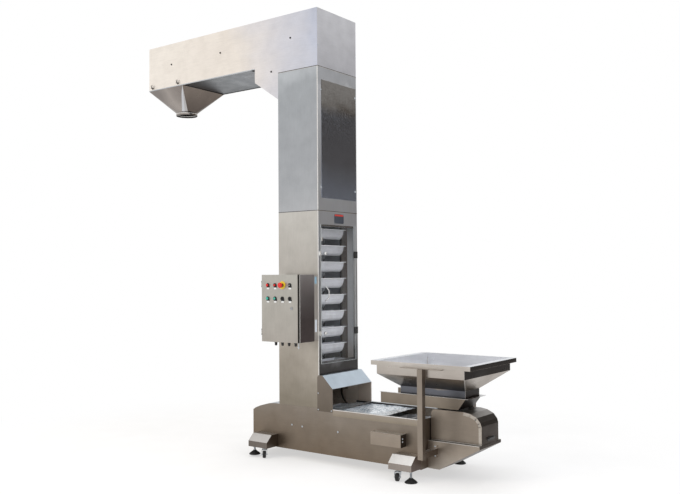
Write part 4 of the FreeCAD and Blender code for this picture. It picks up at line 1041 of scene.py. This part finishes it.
# %% Levelling feet
feet_low, feet_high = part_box("levelling_feet")
pad_r, wound_up, thread_pitch = 0.044, 0.014, 0.0020
foot_y = (feet_low.y + pad_r, feet_high.y - pad_r)
foot_x = (feet_low.x + pad_r - 0.0002, feet_high.x - pad_r)
pads, stems, nuts = bmesh.new(), bmesh.new(), bmesh.new()
floor_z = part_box("foot_brackets")[0].z
for x, lift in zip(foot_x, (wound_up, 0.0)):
    for y in foot_y:
        turn(pads, (x, y, lift), UP, mm((0, 0), (42.5, 0), (44, 1.5), (44, 5), (42.5, 6.4), (40, 7.5),
            (26, 18), (17, 24.5), (14.2, 26.2), (13.8, 31), (12.8, 32), (0, 32)), 32)
        for k in range(16):
            a = math.tau * k / 16
            out = Vector((math.cos(a), math.sin(a), 0))
            side = Vector((-out.y, out.x, 0)) * 0.0012
            root = Vector((x, y, lift))
            outline = [root + out * p + Vector((0, 0, q)) - side for p, q in ((0.0150, 0.0245),
                (0.0400, 0.0070), (0.0405, 0.0092), (0.0160, 0.0275))]
            plate(pads, outline, side * 2)
        top = floor_z + 0.034 + lift
        ridges = [(0.0, lift + 0.030)]
        level = lift + 0.030
        while level < top - 0.002:
            ridges += [(0.0070, level), (0.0080, level + 0.0010)]
            level += thread_pitch
        ridges += [(0.0068, top - 0.0012), (0.0058, top), (0.0, top)]
        turn(stems, (x, y, 0), UP, ridges, 14)
        for z in (floor_z + 0.0030, floor_z - 0.0104):
            turn(nuts, (x, y, z), UP, mm((7.2, 0), (12.5, 0), (14, 1.2), (14, 8.8), (12.5, 10), (7.2, 10)), 6)
for name, mesh, material in (("foot_pads", pads, black_rubber), ("foot_stems", stems, zinc_plate),
        ("foot_lock_nuts", nuts, zinc_plate)):
    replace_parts(hang(name, mesh, material), "levelling_feet")

# %% [markdown]
# ## Castors
# Each 56 mm castor has a black tyre with a rounded tread on a grey hub, and a fork that swings round
# a bearing. The tyre and hub replace the plain CAD ring, and nut and bearing race are added to the
# fork. They ride on their own bodies, so wheel and fork still turn.

# %% Castors
hub_grey = moulded_plastic("moulded_nylon_hub_grey", "#6c6c6e", 0.45, 1.5)
joint_of = {joint["name"]: joint for joint in frame["joints"]}
r, w, cheek, bearing_z = 0.028, 0.024, 0.020, 0.0580
for corner in ("left_front", "left_back", "right_front", "right_back"):
    wheel, roll = "caster_wheel_" + corner, joint_of["roll_" + corner]
    centre, axle = Vector(roll["pos_m"]), Vector(roll["axis"]).normalized()
    side = centre - axle * w / 2
    mesh = bmesh.new()
    turn(mesh, side, axle, [(0.0205, 0.0), (0.0240, 0.0), (0.0262, 0.0012), (0.0275, 0.0045), (r, w / 2),
        (0.0275, w - 0.0045), (0.0262, w - 0.0012), (0.0240, w), (0.0205, w), (0.0205, 0.0)], 40)
    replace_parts(hang("tyre_" + corner, mesh, black_rubber, "wheel_" + corner), wheel)
    mesh = bmesh.new()
    turn(mesh, side, axle, [(0.0042, -0.0010), (0.0080, -0.0010), (0.0092, 0.0025), (0.0182, 0.0035),
        (0.0205, 0.0010), (0.0205, w - 0.0010), (0.0182, w - 0.0035), (0.0092, w - 0.0025),
        (0.0080, w + 0.0010), (0.0042, w + 0.0010), (0.0042, -0.0010)], 32)
    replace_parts(hang("hub_" + corner, mesh, hub_grey, "wheel_" + corner), wheel)
    swivel = Vector(joint_of["swivel_" + corner]["pos_m"])
    mesh = bmesh.new()
    for out in (-1, 1):
        turn(mesh, centre + axle * cheek * out, axle * out, mm((6.5, 0), (6.5, 3.5), (0, 3.5)), 6)
    turn(mesh, (swivel.x, swivel.y, bearing_z), UP, mm((15, 0), (17.2, 1.2), (17.2, 4.5), (16, 6.2),
        (17.2, 7.8), (17.2, 11), (15, 12.8)), 28)
    hang("castor_nuts_" + corner, mesh, zinc_plate, "swivel_" + corner, bevel=0.0003)

# %% [markdown]
# ## Floor, backdrop and light
# A plain studio: a pale floor that keeps the machine's soft shadow and fades into a white room. The
# white is only what the camera and the reflections see. Lamps and room light stay at the level where
# a colour comes out as it is written. A tall dark screen stands out of view at the right rear, as a
# photographer would place it, so the hopper side of the machine mirrors something darker.

# %% Floor
bpy.context.scene.view_settings.view_transform = "Standard"


def seen_directly(tree):
    """1 for rays from the camera, off a mirror or through the clear sheet, and 0 for lighting rays."""
    ray = add(tree, "LightPath")
    seen = add(tree, "Math", (ray.outputs["Is Camera Ray"], ray.outputs["Is Glossy Ray"]), operation="ADD")
    return add(tree, "Math", (seen, ray.outputs["Is Transmission Ray"]), operation="ADD", use_clamp=True)


floor_mat, tree = start_material("studio_floor")
place = add(tree, "NewGeometry").outputs["Position"]
flat = add(tree, "VectorMath", (place, (1.0, 1.0, 0.0)), operation="MULTIPLY")
away = add(tree, "VectorMath", {0: flat}, operation="LENGTH")
fade = add(tree, "MapRange", (away.outputs["Value"], 1.7, 3.4), interpolation_type="SMOOTHSTEP")
speck = noise(tree, place, 3.0, 3.0)
tone = add(tree, "ValToRGB", {"Fac": speck}, stops=[(0.3, "#f3f2f0"), (0.7, "#f8f7f6")])
paint = add(tree, "BsdfDiffuse", {"Color": tone})
seen = seen_directly(tree)
white = add(tree, "Emission", {"Color": (1, 1, 1, 1), "Strength": seen})
pale = add(tree, "MapRange", (fade, 0.0, 1.0, 0.55, 1.0))
share = add(tree, "Math", (pale, seen), operation="MULTIPLY")
close_material(tree, add(tree, "MixShader", (share, paint, white)))
mesh = bmesh.new()
floor_r, floor_level = 60, -0.0005
mesh.faces.new([mesh.verts.new((floor_r * math.cos(a), floor_r * math.sin(a), floor_level))
                for a in turns[:-1]])
mesh_object("studio_floor", mesh, floor_mat)

# %% Dark screen for reflections
screen_mat, tree = start_material("studio_screen_cloth")
place = add(tree, "TexCoord").outputs["Object"]
weave = noise(tree, place, 1.2, 4.0)
tone = add(tree, "ValToRGB", {"Fac": weave}, stops=[(0.3, "#8f8780"), (0.7, "#a39c96")])
close_material(tree, add(tree, "BsdfDiffuse", {"Color": tone}))
mesh = bmesh.new()
middle, half, tall = Vector((4.3, 5.3, 0)), Vector((0.83, -0.55, 0)) * 3.1, Vector((0, 0, 4.1))
plate(mesh, [middle - half, middle + half, middle + half + tall, middle - half + tall],
      Vector((0.55, 0.83, 0)) * 0.03)
screen = mesh_object("studio_screen", mesh, screen_mat)
screen.visible_camera = screen.visible_shadow = False


# %% Lamps and room light
def soft_lamp(name, place, aim, size, watts, colour):
    lamp = bpy.data.lights.new(name, "AREA")
    lamp.shape, lamp.size, lamp.size_y = "RECTANGLE", size[0], size[1]
    lamp.energy, lamp.color = watts, linear(colour)[:3]
    thing = put(name, lamp)
    thing.location = place
    thing.rotation_euler = (Vector(aim) - Vector(place)).to_track_quat("-Z", "Y").to_euler()
    thing.visible_camera = thing.visible_glossy = False


soft_lamp("key_lamp", (-2.6, -5.6, 4.6), (0.0, 0.0, 1.6), (3.0, 3.0), 190, "#fff4e6")
soft_lamp("top_lamp", (0.6, 0.4, 6.8), (0.2, 0.0, 0.0), (4.5, 3.5), 170, "#f6f9ff")
soft_lamp("side_lamp", (5.6, -0.6, 3.4), (0.4, 0.0, 1.4), (2.0, 2.5), 60, "#f4f6ff")

world = bpy.data.worlds.new("studio_room")
bpy.context.scene.world = world
world.use_nodes = True
tree = world.node_tree
tree.nodes.clear()
seen = seen_directly(tree)
level = add(tree, "MapRange", (seen, 0.0, 1.0, 0.72, 1.0))
room = add(tree, "Background", {"Color": (1, 1, 1, 1), "Strength": level})
add(tree, "OutputWorld", {"Surface": room})

# %% [markdown]
